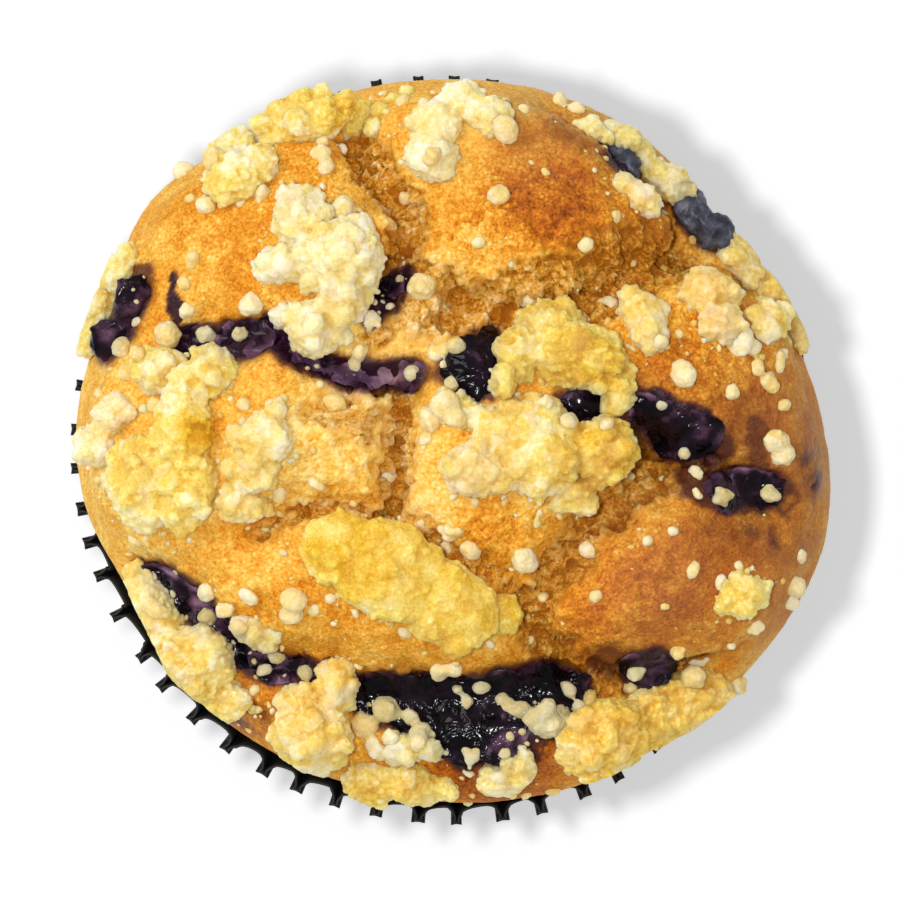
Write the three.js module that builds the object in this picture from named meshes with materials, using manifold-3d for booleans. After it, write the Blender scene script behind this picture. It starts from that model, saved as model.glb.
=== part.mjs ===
// A blueberry streusel muffin in its fluted paper case.
// Millimetres, +Z up, origin at the centre of the case's flat bottom.
// +X and +Y are the right and the top of the muffin as it is seen from straight above.

import * as THREE from 'three';
import { mergeVertices } from 'three/addons/utils/BufferGeometryUtils.js';
import Module from 'manifold-3d';

const wasm = await Module();
wasm.setup();

// ---------------------------------------------------------------- driving dimensions

const rimRadius = 42;          // tips of the pleats at the rim of the paper case
const footRadius = 28;         // fold round the case's flat bottom
const caseHeight = 44;
const pleatCount = 57;
const firstPleat = 0.12;       // turn of the first pleat, in pleats
const pleatDepth = 2.7;        // at the rim; the pleats run out to nothing at the foot
const footPleatDepth = 0.3;
const paperWall = 0.5;
const fit = 0.3;               // gap kept between pieces that touch

// Where the soft paper's rim is pressed in under the cake: direction, width (both degrees), amount.
const rimPresses = [
  [46, 26, -3.2],
  [88, 14, -0.8],
];

const domeRise = 17;           // from the widest part of the cake to its top
const domeEdgeHeight = 46.4;   // height of the cake's widest part
const domeRadius = 40.4;
const domeFlatness = 2.2;      // powers of the dome's section: how flat its middle is
const domeShoulder = 0.6;      // and how round its shoulder
const edgeLean = 75;           // degrees from upright at which the crust rises at the edge
const leanStart = 0.7;         // share of the way out where that lean begins
const reliefEnd = 0.85;        // and where lobes and cracks begin to run out
const lipOverhang = 1.2;       // how far the dome spreads past its own neck
const lipHeight = 0.4;         // of the lip's underside above the neck
const lipClearance = 0.1;      // least step from the neck out to the lip
const domeRings = 18;          // rings of the dome's mesh, ring k having 6 k points
const ringCrowding = 0.6;      // how much closer together the rings lie towards the edge

// Where the dome spreads more or less than its mean radius: direction, width (both degrees), amount.
const edgeBulges = [
  [141, 13, 2.1],
  [178, 14, 0.9],
  [205, 10, -1.2],
  [250, 40, -1.6],
  [343, 18, 2.0],
  [34, 20, -1.9],
];

// Cracks of the risen top: width and depth of the groove, then the points that it runs through.
const cracks = [
  { width: 1.7, depth: 4.2, path: [[-10.5, 35], [-8.5, 30], [-4.5, 25.5], [-4.5, 20.5], [-7, 16.5]] },
  { width: 2.0, depth: 3.2, path: [[28, 21.5], [20.5, 18.5], [15, 15], [8.5, 14], [1, 15.5]] },
  { width: 1.2, depth: 2.6, path: [[-5, 5.5], [-5.5, 0.5], [-6, -3.5], [-6.5, -7]] },
  { width: 2.4, depth: 3.6, path: [[22, 0], [20.5, -4.5], [16, -8], [11.5, -13.5], [8.5, -18], [12, -23]] },
  { width: 1.6, depth: 1.8, path: [[-20, -9], [-13, -6.5], [-5.5, -8], [0, -11], [6, -15]] },
  { width: 2.2, depth: 2.8, path: [[-34, -13], [-27, -18], [-20.5, -23.5], [-13, -24]] },
  { width: 3.4, depth: 3.4, path: [[-9, -26.5], [3, -27], [13, -25.5], [21.5, -26], [31.5, -23]] },
  { width: 1.6, depth: 1.6, path: [[-28, 11.5], [-18, 12.5], [-16, 9.5], [-11.5, 7.5], [-4, 7.5]] },
  { width: 2.2, depth: 1.5, path: [[20.5, 1], [27, -1.5], [33, -5]] },
  { width: 1.7, depth: 2.6, path: [[11.5, 36], [18.5, 31], [25, 25], [28.5, 21], [32, 18.5]] },
];

const puffRise = 2.2;          // how high the crust swells away from a crack
const puffReach = 4.5;         // distance from the crack over which it does so

// Lobes and hollows of the top: centre x, y, reach and rise.
const swells = [
  [-21.5, 23.5, 13, 1.2],
  [11, 27, 12, 3.4],
  [28, 9, 9, 2.6],
  [24, -15, 11, 3.2],
  [3, -9, 8, 0.8],
  [-15, 0.5, 9, 1.0],
  [-1, 12.5, 6, -1.4],
  [-30, -3.5, 11, 1.6],
  [-20, -15.5, 9, 1.0],
  [-3, -36, 12, -3.0],
  [-28, -26, 9, -2.4],
  [31, 26, 7, -1.6],
];

// Lumps of streusel and of fruit: centre x, y, half length, half width, turn in degrees.
const streusel = {
  streusel_slab: [
    [-11.5, -11, 5.25, 4.25, 0],
    [-6.5, -13.5, 6.75, 5.5, -25],
    [-1, -16.5, 6.5, 4.75, -28],
    [5.5, -18, 2.75, 2.5, 0],
  ],
  streusel_centre_high: [
    [10.5, 12.5, 4.25, 3.25, 10],
    [14, 9.5, 5.5, 4, 0],
    [7.5, 9.5, 2.5, 3.25, 0],
    [5.5, 7, 1.75, 2.25, 0],
    [18, 6.5, 2, 3, 0],
  ],
  streusel_centre_low: [
    [8.5, 2, 4, 3.5, 0],
    [16, -0.5, 4.25, 4.25, 0],
    [9.5, -1.5, 5, 4.25, 0],
    [3, -2.5, 4, 3.25, 0],
    [13.5, -5, 2.75, 2.5, 90],
    [4, 2.5, 2.5, 2, 0],
    [0.5, 4, 2.75, 2.25, 0],
  ],
  streusel_left_high: [
    [-16, 24.5, 4, 3.25, 90],
    [-11.5, 20, 5, 4.75, 90],
    [-18, 19.5, 3.5, 2.5, 0],
    [-11.5, 15.5, 3, 3, 0],
    [-14.5, 12.5, 3.25, 3.5, 90],
    [-17.5, 14, 2, 1.75, 0],
  ],
  streusel_left_outer: [
    [-31, 8, 3.75, 3, 0],
    [-25.5, 8, 3, 3.25, 0],
    [-28.5, 1.5, 7, 3.5, 90],
    [-33, -4, 6, 4, 100],
    [-28, -5, 5, 3.25, 60],
  ],
  streusel_left_inner: [
    [-18.5, 4, 1.5, 1.25, 0],
    [-20, 0.5, 3.75, 3.25, 60],
    [-22.5, -6, 3, 2.5, 0],
    [-21, -2.5, 3, 2.75, 0],
  ],
  streusel_left_rim: [
    [-38.5, 0, 3, 2.5, -20],
    [-36.5, 3.5, 2.75, 2, 50],
  ],
  streusel_top_heap: [
    [-16.5, 35.5, 6, 3.75, 10],
    [-10.5, 36.5, 4.5, 3.25, 0],
    [-6.5, 37, 2.75, 2, 0],
  ],
  streusel_top_left: [
    [-23.5, 29, 3.75, 3, 20],
    [-23.5, 32, 3, 2.75, 10],
    [-21, 30.5, 3, 2.5, 0],
  ],
  streusel_top_arc: [
    [-2, 31, 3.25, 2.75, 0],
    [-1.5, 34.5, 3, 3.25, 0],
    [1.5, 37, 3.5, 2.5, -10],
    [4.5, 35.5, 3, 2.25, -50],
  ],
  streusel_right_high: [
    [28, 16.5, 3.5, 2.75, 0],
    [29, 13.25, 2.75, 2.5, -10],
  ],
  streusel_right_edge: [
    [34.5, 13.5, 2.25, 3.5, 100],
  ],
  streusel_right_ribbon: [
    [31.5, 21, 4, 2, -45],
    [35.5, 17, 3.75, 2.25, -50],
    [38, 13, 3.5, 2, -80],
  ],
  streusel_torn_edge: [
    [20.5, 14.5, 2.5, 3.25, 70],
    [21.5, 12, 2.5, 2.25, 0],
  ],
  streusel_top_right: [
    [20.5, 27, 3.25, 1.75, -45],
  ],
  streusel_upper_rim: [
    [15.5, 34, 2.5, 2, -20],
  ],
  streusel_rim_strip: [
    [19.5, 33, 4, 1.9, -38],
    [24, 29, 4.25, 2, -40],
  ],
  streusel_lower_right: [
    [31.5, -16, 2.5, 3.5, 90],
  ],
  streusel_bottom_right: [
    [17, -31.5, 5, 5.5, 90],
    [26, -28.5, 5.5, 4.25, 20],
    [22, -29.5, 3.75, 3.75, 0],
  ],
  streusel_on_pool: [
    [8.5, -29.5, 2, 2, 0],
    [11, -29.5, 2.5, 2, 0],
  ],
  streusel_bottom_rim: [
    [5.5, -36.5, 3, 2.25, 0],
    [7.5, -35, 2.25, 2.5, 0],
  ],
  streusel_bottom_left: [
    [-15, -31.5, 5, 4.5, 0],
    [-12.5, -26, 3.75, 2.75, 90],
    [-16.5, -27.5, 2.5, 2, 0],
  ],
  streusel_bottom_mid: [
    [-8.5, -37, 3.5, 2.75, 0],
    [-4.5, -37, 2.75, 2.75, 0],
    [-1, -37.5, 2, 1.5, 0],
  ],
  streusel_pool_edge: [
    [-5, -33, 2.75, 2, 0],
    [-2, -32.5, 2.5, 2, 0],
  ],
  streusel_lower_left: [
    [-28, -24, 4.5, 5.5, 120],
    [-32.5, -17.5, 5, 3.25, 120],
    [-25, -27.5, 3.25, 2.75, -40],
  ],
  streusel_on_trail: [
    [-20, -23, 2.75, 2.25, 0],
    [-21, -20, 3, 2, -10],
  ],
  streusel_left_band: [
    [-39.5, 12, 3, 2, 70],
    [-38, 16, 3.25, 2.25, 55],
    [-36, 19, 3, 2.25, 40],
  ],
};

const fruit = {
  jam_left: [
    [-34.5, 16.5, 3.5, 1.75, 65],
    [-37, 12, 3.25, 1.75, 60],
  ],
  jam_high_left: [
    [-22, 11, 3.25, 2.75, 10],
    [-25.5, 11.5, 3.5, 1.75, -5],
  ],
  jam_ribbon: [
    [-16, 9.5, 3.25, 1.75, -38],
    [-10.5, 7.5, 4.25, 2, -12],
    [-5, 7.5, 3.75, 2.25, 8],
  ],
  berry_high: [
    [-7, 16.5, 3.25, 2.75, 20],
  ],
  berry_centre: [
    [2, 8.5, 3.5, 3.25, 60],
    [4, 11, 2.25, 1.5, 60],
  ],
  berry_gap: [
    [14, 4.25, 3.25, 2, 0],
  ],
  berry_right: [
    [25.5, 1.5, 3.75, 3.5, 0],
    [21.5, 4, 3, 2.5, 0],
  ],
  jam_right: [
    [32, -5, 4.75, 2.75, 10],
    [29, -5.5, 2.5, 2.5, 0],
  ],
  berry_low_right: [
    [21.5, -23.5, 3.5, 3.25, 0],
  ],
  jam_pool: [
    [-5, -26.5, 6.75, 4.5, 0],
    [3, -28.5, 8.5, 6.5, -8],
    [11, -26.5, 5.25, 3.5, -10],
  ],
  jam_trail: [
    [-30, -15.5, 5.5, 2.25, -35],
    [-24, -20.5, 5, 2.75, -48],
    [-17.5, -24.5, 5, 2.25, -5],
  ],
  skin_high: [
    [18.5, 31, 4, 1.75, -38],
  ],
  skin_right: [
    [27.5, 25, 5, 2.5, -42],
  ],
};

// Single crumbs baked onto the crust: centre x, y and radius.
const crumbs = [
  [-23, 12.5, 1.1], [-31, 12, 1.6], [-3.5, 17.5, 1.6], [-11.5, 25.5, 1.5], [-13.5, 31.5, 1.4],
  [-12.5, 5, 1.2], [8, -12, 1.6], [2, -11, 1.4], [15, -11, 1.1], [30.5, 6, 1.1],
  [25.5, 7, 1.6], [-17, -16.5, 1.5], [-25, 26, 1.5], [4.5, 27.5, 1.3], [-8.5, 32.5, 1.7],
  [34.5, 6.5, 1.7], [37, -15.5, 1.6], [35.5, 0.5, 1.7], [-35.5, 8.5, 1.3], [7, 33.5, 1.4],
  [-24, -15.5, 1.8], [12, -35.5, 1.4],
];

const crumbThickness = 0.55;   // of a streusel lump's smaller half size
const crumbBase = 0.6;         // added to it, so that small lumps stand up more
const slabThickness = 0.42;    // the same for the flat slab
const fruitThickness = 0.35;   // berries and jam lie flatter
const fruitBase = 1.3;
const crumbHeight = 0.8;       // half height of a single crumb, of its radius
const streuselStand = 0.5;     // part of its half thickness that a lump's middle stands above the crust
const fruitStand = 0.4;
const lumpRoughness = 0.09;    // uneven outline of a lump, as part of its size
const seekSteps = 8;
const smallLump = 2.6;         // lumps with a smaller half width have only 20 faces
const middleLump = 5.2;        // and up to this one 32

// ---------------------------------------------------------------- solids

const degrees = Math.PI / 180;

function geometryOf(positions, triangles) {
  const geometry = new THREE.BufferGeometry();
  geometry.setAttribute('position', new THREE.Float32BufferAttribute(positions.flat(), 3));
  geometry.setIndex(triangles.flat());
  return geometry;
}

function solidOf(geometry) {
  const bare = geometry.clone();
  bare.deleteAttribute('normal');
  bare.deleteAttribute('uv');
  const merged = mergeVertices(bare, 1e-5);
  return new wasm.Manifold(new wasm.Mesh({
    numProp: 3,
    vertProperties: new Float32Array(merged.attributes.position.array),
    triVerts: new Uint32Array(merged.index.array),
  }));
}

function geometryFromSolid(solid) {
  const mesh = solid.getMesh();
  const geometry = new THREE.BufferGeometry();
  geometry.setAttribute('position', new THREE.Float32BufferAttribute(mesh.vertProperties, 3));
  geometry.setIndex(Array.from(mesh.triVerts));
  geometry.computeVertexNormals();
  return geometry;
}

function joined(solids) {
  return solids.reduce((whole, solid) => whole.add(solid));
}

// The largest piece of a solid: loose scraps left by a cut are dropped.
function largestPiece(solid) {
  const pieces = solid.decompose();
  return pieces.reduce((best, piece) => (piece.volume() > best.volume() ? piece : best));
}

// ---------------------------------------------------------------- the top of the cake

function smooth(from, to, value) {
  const part = Math.min(1, Math.max(0, (value - from) / (to - from)));
  return part * part * (3 - 2 * part);
}

// The sum of bells round a circle, each with a direction, a width and an amount.
function bells(list, turn) {
  return list.reduce((sum, [direction, width, amount]) => {
    const away = Math.abs(((turn / degrees - direction + 540) % 360) - 180);
    return sum + amount * Math.exp(-((away / width) ** 2));
  }, 0);
}

function edgeRadius(turn) {
  return domeRadius + bells(edgeBulges, turn);
}

function distanceToPath(path, x, y) {
  let nearest = Infinity;
  for (let i = 1; i < path.length; i += 1) {
    const [ax, ay] = path[i - 1];
    const dx = path[i][0] - ax;
    const dy = path[i][1] - ay;
    const along = Math.min(1, Math.max(0, ((x - ax) * dx + (y - ay) * dy) / (dx * dx + dy * dy)));
    nearest = Math.min(nearest, Math.hypot(x - ax - along * dx, y - ay - along * dy));
  }
  return nearest;
}

// How far the crust stands above the plain dome at a place.
function relief(x, y) {
  let height = 0;
  let nearest = Infinity;
  for (const crack of cracks) {
    const distance = distanceToPath(crack.path, x, y);
    height -= crack.depth * Math.exp(-((distance / crack.width) ** 2));
    nearest = Math.min(nearest, distance);
  }
  height += puffRise * (1 - Math.exp(-((nearest / puffReach) ** 2)));
  for (const [centreX, centreY, reach, rise] of swells) {
    height += rise * Math.exp(-(((x - centreX) ** 2 + (y - centreY) ** 2) / reach ** 2));
  }
  return height;
}

// The direction in which the crust rises: up over most of the top, outwards at the edge.
function riseDirection(x, y) {
  const turn = Math.atan2(y, x);
  const spread = smooth(leanStart, 1, Math.hypot(x, y) / edgeRadius(turn));
  const lean = spread * edgeLean * degrees;
  return new THREE.Vector3(Math.sin(lean) * Math.cos(turn), Math.sin(lean) * Math.sin(turn), Math.cos(lean));
}

function crustPoint(x, y, lift = 0) {
  const out = Math.min(1, Math.hypot(x, y) / edgeRadius(Math.atan2(y, x)));
  const height = domeEdgeHeight + domeRise * (1 - out ** domeFlatness) ** domeShoulder;
  const fade = 1 - smooth(reliefEnd, 1, out);
  const rise = relief(x, y) * fade + lift;
  return new THREE.Vector3(x, y, height).addScaledVector(riseDirection(x, y), rise);
}

// The crust point that is seen at x, y from above, found by stepping back what the rise adds.
function crustSeenAt(x, y, lift = 0) {
  const from = new THREE.Vector3(x, y, 0);
  let point = crustPoint(x, y, lift);
  for (let step = 0; step < seekSteps; step += 1) {
    from.x += x - point.x;
    from.y += y - point.y;
    point = crustPoint(from.x, from.y, lift);
  }
  return point;
}

// ---------------------------------------------------------------- paper case

const arcDepth = 0.45;         // part of the pleat's depth taken by the wide arc between two tabs
const tabTip = 0.09;           // half width of a tab's tip and of its foot, in pleats
const tabFoot = 0.14;

// Radii of the paper's outer and inner face, at a height, a place across one pleat and a turn.
function paperRadii(height, across, turn) {
  const part = height / caseHeight;
  const tips = footRadius + (rimRadius + bells(rimPresses, turn) - footRadius) * part;
  const depth = footPleatDepth + (pleatDepth - footPleatDepth) * part;
  const away = Math.max(0, Math.abs(across) - tabFoot) / (0.5 - tabFoot);
  const scallop = 1 - Math.sqrt(1 - (1 - away) ** 2);
  const arc = tips - depth * (1 - arcDepth * scallop);
  const outer = Math.abs(across) <= tabTip ? tips : arc;
  return [outer, arc - paperWall];
}

// Radius of the cake inside the case, clear of the paper's innermost folds.
function neckRadius(height, turn) {
  return paperRadii(height, 0.5, turn)[1] - fit;
}

function paperCase() {
  const stations = [-0.5, -tabFoot, -tabTip, tabTip, tabFoot];
  const count = pleatCount * stations.length;
  const positions = [];
  // Four loops of points: outer foot, outer rim, inner rim, inner floor.
  for (const [height, face] of [[0, 0], [caseHeight, 0], [caseHeight, 1], [paperWall, 1]]) {
    for (let pleat = 0; pleat < pleatCount; pleat += 1) {
      for (const across of stations) {
        const turn = ((pleat + firstPleat + across) / pleatCount) * 2 * Math.PI;
        const radius = paperRadii(height, across, turn)[face];
        positions.push([radius * Math.cos(turn), radius * Math.sin(turn), height]);
      }
    }
  }
  const triangles = [];
  for (let loop = 0; loop < 3; loop += 1) {
    for (let i = 0; i < count; i += 1) {
      const next = (i + 1) % count;
      const [a, b] = [loop * count + i, loop * count + next];
      const [c, d] = [a + count, b + count];
      triangles.push([a, b, d], [a, d, c]);
    }
  }
  const underside = positions.push([0, 0, 0]) - 1;
  const floor = positions.push([0, 0, paperWall]) - 1;
  for (let i = 0; i < count; i += 1) {
    const next = (i + 1) % count;
    triangles.push([underside, next, i], [floor, 3 * count + i, 3 * count + next]);
  }
  return geometryOf(positions, triangles);
}

// ---------------------------------------------------------------- cake

const cakeFloor = paperWall + fit;
const neckTop = caseHeight + fit;

// The cake from its foot to its top. Lift raises the whole top, for seating what lies on it.
function cakeBody(lift = 0) {
  const positions = [[0, 0, crustPoint(0, 0, lift).z]];
  const triangles = [];
  const first = (ring) => (ring === 0 ? 0 : 1 + 3 * ring * (ring - 1));
  for (let ring = 1; ring <= domeRings; ring += 1) {
    const part = ring / domeRings;
    const out = ringCrowding * Math.sin((part * Math.PI) / 2) + (1 - ringCrowding) * part;
    for (let i = 0; i < 6 * ring; i += 1) {
      const turn = (i / (6 * ring)) * 2 * Math.PI;
      const radius = out * edgeRadius(turn);
      const point = crustPoint(radius * Math.cos(turn), radius * Math.sin(turn), lift);
      positions.push([point.x, point.y, point.z]);
    }
    for (let sector = 0; sector < 6; sector += 1) {
      for (let i = 0; i < ring; i += 1) {
        const outerCount = 6 * ring;
        const innerCount = Math.max(1, 6 * (ring - 1));
        const a = first(ring) + sector * ring + i;
        const b = first(ring) + ((sector * ring + i + 1) % outerCount);
        const c = first(ring - 1) + ((sector * (ring - 1) + i) % innerCount);
        triangles.push([a, b, c]);
        if (i < ring - 1) {
          const d = first(ring - 1) + ((sector * (ring - 1) + i + 1) % innerCount);
          triangles.push([b, d, c]);
        }
      }
    }
  }
  // Below the dome: a lip that turns in to the neck, and the plain cone inside the case.
  const columns = 6 * domeRings;
  const edge = first(domeRings);
  const neck = (turn) => neckRadius(caseHeight, turn);
  const loops = [
    [neckTop + lipHeight, (turn) => Math.max(edgeRadius(turn) - lipOverhang, neck(turn) + lipClearance)],
    [neckTop, neck],
    [cakeFloor, (turn) => neckRadius(0, turn)],
  ];
  for (const [height, radiusAt] of loops) {
    for (let i = 0; i < columns; i += 1) {
      const turn = (i / columns) * 2 * Math.PI;
      const radius = radiusAt(turn);
      positions.push([radius * Math.cos(turn), radius * Math.sin(turn), height]);
    }
  }
  for (let loop = 0; loop < loops.length; loop += 1) {
    for (let i = 0; i < columns; i += 1) {
      const next = (i + 1) % columns;
      const [a, b] = [edge + loop * columns + i, edge + loop * columns + next];
      const [c, d] = [a + columns, b + columns];
      triangles.push([a, c, d], [a, d, b]);
    }
  }
  const lastLoop = edge + loops.length * columns;
  const middle = positions.push([0, 0, cakeFloor]) - 1;
  for (let i = 0; i < columns; i += 1) {
    triangles.push([middle, lastLoop + ((i + 1) % columns), lastLoop + i]);
  }
  return solidOf(geometryOf(positions, triangles));
}

// ---------------------------------------------------------------- lumps

// A repeatable uneven value from -1 to 1 for a point of a lump.
function unevenness(x, y, z) {
  const wave = Math.sin(x * 12.9898 + y * 78.233 + z * 37.719) * 43758.5453;
  return 2 * (wave - Math.floor(wave)) - 1;
}

// An uneven ellipsoid that lies on the crust at x, y and leans halfway to its slope.
function lump(x, y, halfLength, halfWidth, turn, halfHeight, stand, grow = 0) {
  const geometry = roundShape(Math.min(halfLength, halfWidth));
  const corners = geometry.attributes.position;
  const size = new THREE.Vector3(halfLength + grow, halfWidth + grow, halfHeight + grow);
  for (let i = 0; i < corners.count; i += 1) {
    const corner = new THREE.Vector3().fromBufferAttribute(corners, i);
    const swell = 1 + lumpRoughness * unevenness(corner.x + x, corner.y + y, corner.z);
    corner.multiply(size).multiplyScalar(swell);
    corners.setXYZ(i, corner.x, corner.y, corner.z);
  }
  const outward = Math.atan2(y, x);
  const normal = riseDirection(x, y);
  const lean = Math.acos(normal.z) / 2;
  const place = crustSeenAt(x, y, halfHeight * stand);
  geometry.rotateZ(turn * degrees - outward);
  geometry.rotateY(lean);
  geometry.rotateZ(outward);
  geometry.translate(place.x, place.y, place.z);
  return solidOf(geometry);
}

// A ball of radius 1 with as many faces as a lump of that size needs.
function roundShape(size) {
  let geometry = new THREE.IcosahedronGeometry(1, size < smallLump ? 0 : 1);
  if (size >= smallLump && size < middleLump) {
    geometry = new THREE.OctahedronGeometry(1, 1);
  }
  geometry.deleteAttribute('normal');
  geometry.deleteAttribute('uv');
  return mergeVertices(geometry, 1e-5);
}

function streuselSolid(name, lumps, grow = 0) {
  const share = name === 'streusel_slab' ? slabThickness : crumbThickness;
  return joined(lumps.map(([x, y, length, width, turn]) => {
    const halfHeight = share * Math.min(length, width) + crumbBase;
    return lump(x, y, length, width, turn, halfHeight, streuselStand, grow);
  }));
}

function fruitSolid(lumps, grow = 0) {
  return joined(lumps.map(([x, y, length, width, turn]) => {
    const halfHeight = fruitThickness * Math.min(length, width) + fruitBase;
    return lump(x, y, length, width, turn, halfHeight, fruitStand, grow);
  }));
}

// ---------------------------------------------------------------- the whole

const paperLook = new THREE.MeshStandardMaterial({ color: '#0d1112', roughness: 0.6 });
const cakeLook = new THREE.MeshStandardMaterial({ color: '#dc983c', roughness: 0.75 });
const streuselLook = new THREE.MeshStandardMaterial({ color: '#efd070', roughness: 0.8 });
const fruitLook = new THREE.MeshStandardMaterial({ color: '#2a1230', roughness: 0.2 });

const muffin = new THREE.Group();

function addPiece(name, geometry, material) {
  const mesh = new THREE.Mesh(geometry, material.clone());
  mesh.name = name;
  muffin.add(mesh);
}

addPiece('paper_case', paperCase(), paperLook);

// Fruit is seated first, then streusel on the crust and on the fruit.
const seat = cakeBody(fit);
const taken = [];
const toppings = [];

function addTopping(name, solid, grown, material) {
  const clear = taken.filter((other) => solid.intersect(other).volume() > 0);
  const cut = clear.reduce((rest, other) => rest.subtract(other), solid.subtract(seat));
  toppings.push([name, largestPiece(cut), material]);
  taken.push(grown);
}

for (const [name, lumps] of Object.entries(fruit)) {
  addTopping(name, fruitSolid(lumps), fruitSolid(lumps, fit), fruitLook);
}
for (const [name, lumps] of Object.entries(streusel)) {
  addTopping(name, streuselSolid(name, lumps), streuselSolid(name, lumps, fit), streuselLook);
}

// Crumbs are fused to the cake wherever they stay clear of the toppings.
let cake = cakeBody();
for (const [x, y, radius] of crumbs) {
  const crumb = lump(x, y, radius, radius, 0, radius * crumbHeight, streuselStand);
  const free = taken.every((other) => crumb.intersect(other).volume() === 0);
  if (free) cake = cake.add(crumb);
}

addPiece('cake', geometryFromSolid(largestPiece(cake)), cakeLook);
for (const [name, solid, material] of toppings) {
  addPiece(name, geometryFromSolid(solid), material);
}

export default muffin;
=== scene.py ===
"""A blueberry streusel muffin in its black fluted paper case: the looks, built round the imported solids.

Lengths in the functions are millimetres in the frame of the solids: origin at the centre of the
case's flat bottom, +Z up. They are turned to metres where a mesh, a camera or a light is made.
"""

import bpy
import numpy as np
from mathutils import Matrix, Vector
from mathutils.bvhtree import BVHTree


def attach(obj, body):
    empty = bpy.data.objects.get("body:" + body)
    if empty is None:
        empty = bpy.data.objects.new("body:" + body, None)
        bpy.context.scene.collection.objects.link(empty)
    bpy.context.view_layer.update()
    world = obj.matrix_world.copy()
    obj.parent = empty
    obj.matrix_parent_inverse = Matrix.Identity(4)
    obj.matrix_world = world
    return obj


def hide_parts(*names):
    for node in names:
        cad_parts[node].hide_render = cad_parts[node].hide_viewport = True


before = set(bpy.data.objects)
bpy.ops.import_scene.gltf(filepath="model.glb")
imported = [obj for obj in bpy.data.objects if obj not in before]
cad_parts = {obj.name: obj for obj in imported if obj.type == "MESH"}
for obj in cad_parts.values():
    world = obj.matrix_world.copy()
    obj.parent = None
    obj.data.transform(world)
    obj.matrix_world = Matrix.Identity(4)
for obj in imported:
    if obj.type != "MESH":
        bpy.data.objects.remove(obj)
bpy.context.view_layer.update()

MM = 0.001

# ------------------------------------------------------------------ camera

SENSOR_WIDTH = 36.0
CAMERA_ABOVE_RIM = 620.0
VIEW_WIDTH_AT_RIM = 99.45
CAMERA_Y = -0.44


def add_camera(rim_height):
    """A long lens that looks straight down, with +Y at the top of the picture."""
    data = bpy.data.cameras.new("overhead_camera")
    data.sensor_width = SENSOR_WIDTH
    data.lens = SENSOR_WIDTH * CAMERA_ABOVE_RIM / VIEW_WIDTH_AT_RIM
    camera = bpy.data.objects.new("overhead_camera", data)
    camera.location = (0, CAMERA_Y * MM, (rim_height + CAMERA_ABOVE_RIM) * MM)
    bpy.context.scene.collection.objects.link(camera)
    bpy.context.scene.camera = camera


# ------------------------------------------------------------------ driving sizes
# They are the solids' own, but for shallower pleats, three more presses of the rim, one bulge of
# the dome turned by 2 degrees and a little larger, a deeper crack in its middle and a low crack that
# ends sooner.

RIM_RADIUS = 42.0
FOOT_RADIUS = 28.0
CASE_HEIGHT = 44.0
PLEATS = 57
FIRST_PLEAT = 0.12
PLEAT_DEPTH = 2.0
FOOT_PLEAT_DEPTH = 0.3

DOME_RISE = 17.0
DOME_EDGE_HEIGHT = 46.4
DOME_RADIUS = 40.4
DOME_FLATNESS = 2.2        # powers of the dome's section: how flat its middle is
DOME_SHOULDER = 0.6        # and how round its shoulder
EDGE_LEAN = 75             # degrees from upright at which the crust rises at the edge
LEAN_START = 0.7           # share of the way out where that lean begins
RELIEF_END = 0.85          # and where lobes and cracks begin to run out
LIP_OVERHANG = 1.2
LIP_HEIGHT = 0.4
LIP_CLEARANCE = 0.1
NECK_RADIUS = 38.5
NECK_TOP = 44.3
CAKE_FOOT_RADIUS = 27.2
CAKE_FLOOR = 0.8

# Where the soft paper's rim is pressed in under the cake: direction, width (both degrees), amount.
RIM_PRESSES = [(46, 26, -3.2), (88, 14, -0.8), (7, 14, -1.2), (312, 13, -1.5), (110, 7, -0.7)]

# Where the dome spreads more or less than its mean radius: direction, width (both degrees), amount.
EDGE_BULGES = [
    (141, 13, 2.1),
    (178, 14, 0.9),
    (205, 10, -1.2),
    (250, 40, -1.6),
    (345, 20, 2.1),
    (34, 20, -1.9),
]

# Cracks of the risen top: width, depth, how far torn crumb shows beside it, and its points.
CRACKS = [
    (1.7, 4.2, 2.6, [(-10.5, 35), (-8.5, 30), (-4.5, 25.5), (-4.5, 20.5), (-7, 16.5)]),
    (2.0, 3.2, 3.2, [(28, 21.5), (20.5, 18.5), (15, 15), (8.5, 14), (1, 15.5)]),
    (1.5, 4.2, 1.7, [(-5, 5.5), (-5.5, 0.5), (-6, -3.5), (-6.5, -7)]),
    (2.4, 3.6, 2.6, [(22, 0), (20.5, -4.5), (16, -8), (11.5, -13.5), (8.5, -18), (12, -23)]),
    (1.6, 1.8, 1.2, [(-20, -9), (-13, -6.5), (-5.5, -8), (0, -11), (6, -15)]),
    (2.2, 2.8, 1.2, [(-34, -13), (-27, -18), (-20.5, -23.5), (-13, -24)]),
    (3.4, 3.4, 2.6, [(-9, -26.5), (3, -27), (13, -25.5), (21.5, -26), (28, -24.5)]),
    (1.6, 1.6, 1.6, [(-28, 11.5), (-18, 12.5), (-16, 9.5), (-11.5, 7.5), (-4, 7.5)]),
    (2.2, 1.5, 1.4, [(20.5, 1), (27, -1.5), (33, -5)]),
    (1.7, 2.6, 0.6, [(11.5, 36), (18.5, 31), (25, 25), (28.5, 21), (32, 18.5)]),
]
PUFF_RISE = 2.2            # how high the crust swells away from a crack
PUFF_REACH = 4.5           # distance from the crack over which it does so

# Lobes and hollows of the top: centre x, y, reach and rise.
SWELLS = [
    (-21.5, 23.5, 13, 1.2),
    (11, 27, 12, 3.4),
    (28, 9, 9, 2.6),
    (24, -15, 11, 3.2),
    (3, -9, 8, 0.8),
    (-15, 0.5, 9, 1.0),
    (-1, 12.5, 6, -1.4),
    (-30, -3.5, 11, 1.6),
    (-20, -15.5, 9, 1.0),
    (-3, -36, 12, -3.0),
    (-28, -26, 9, -2.4),
    (31, 26, 7, -1.6),
]

# ------------------------------------------------------------------ noise

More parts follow.
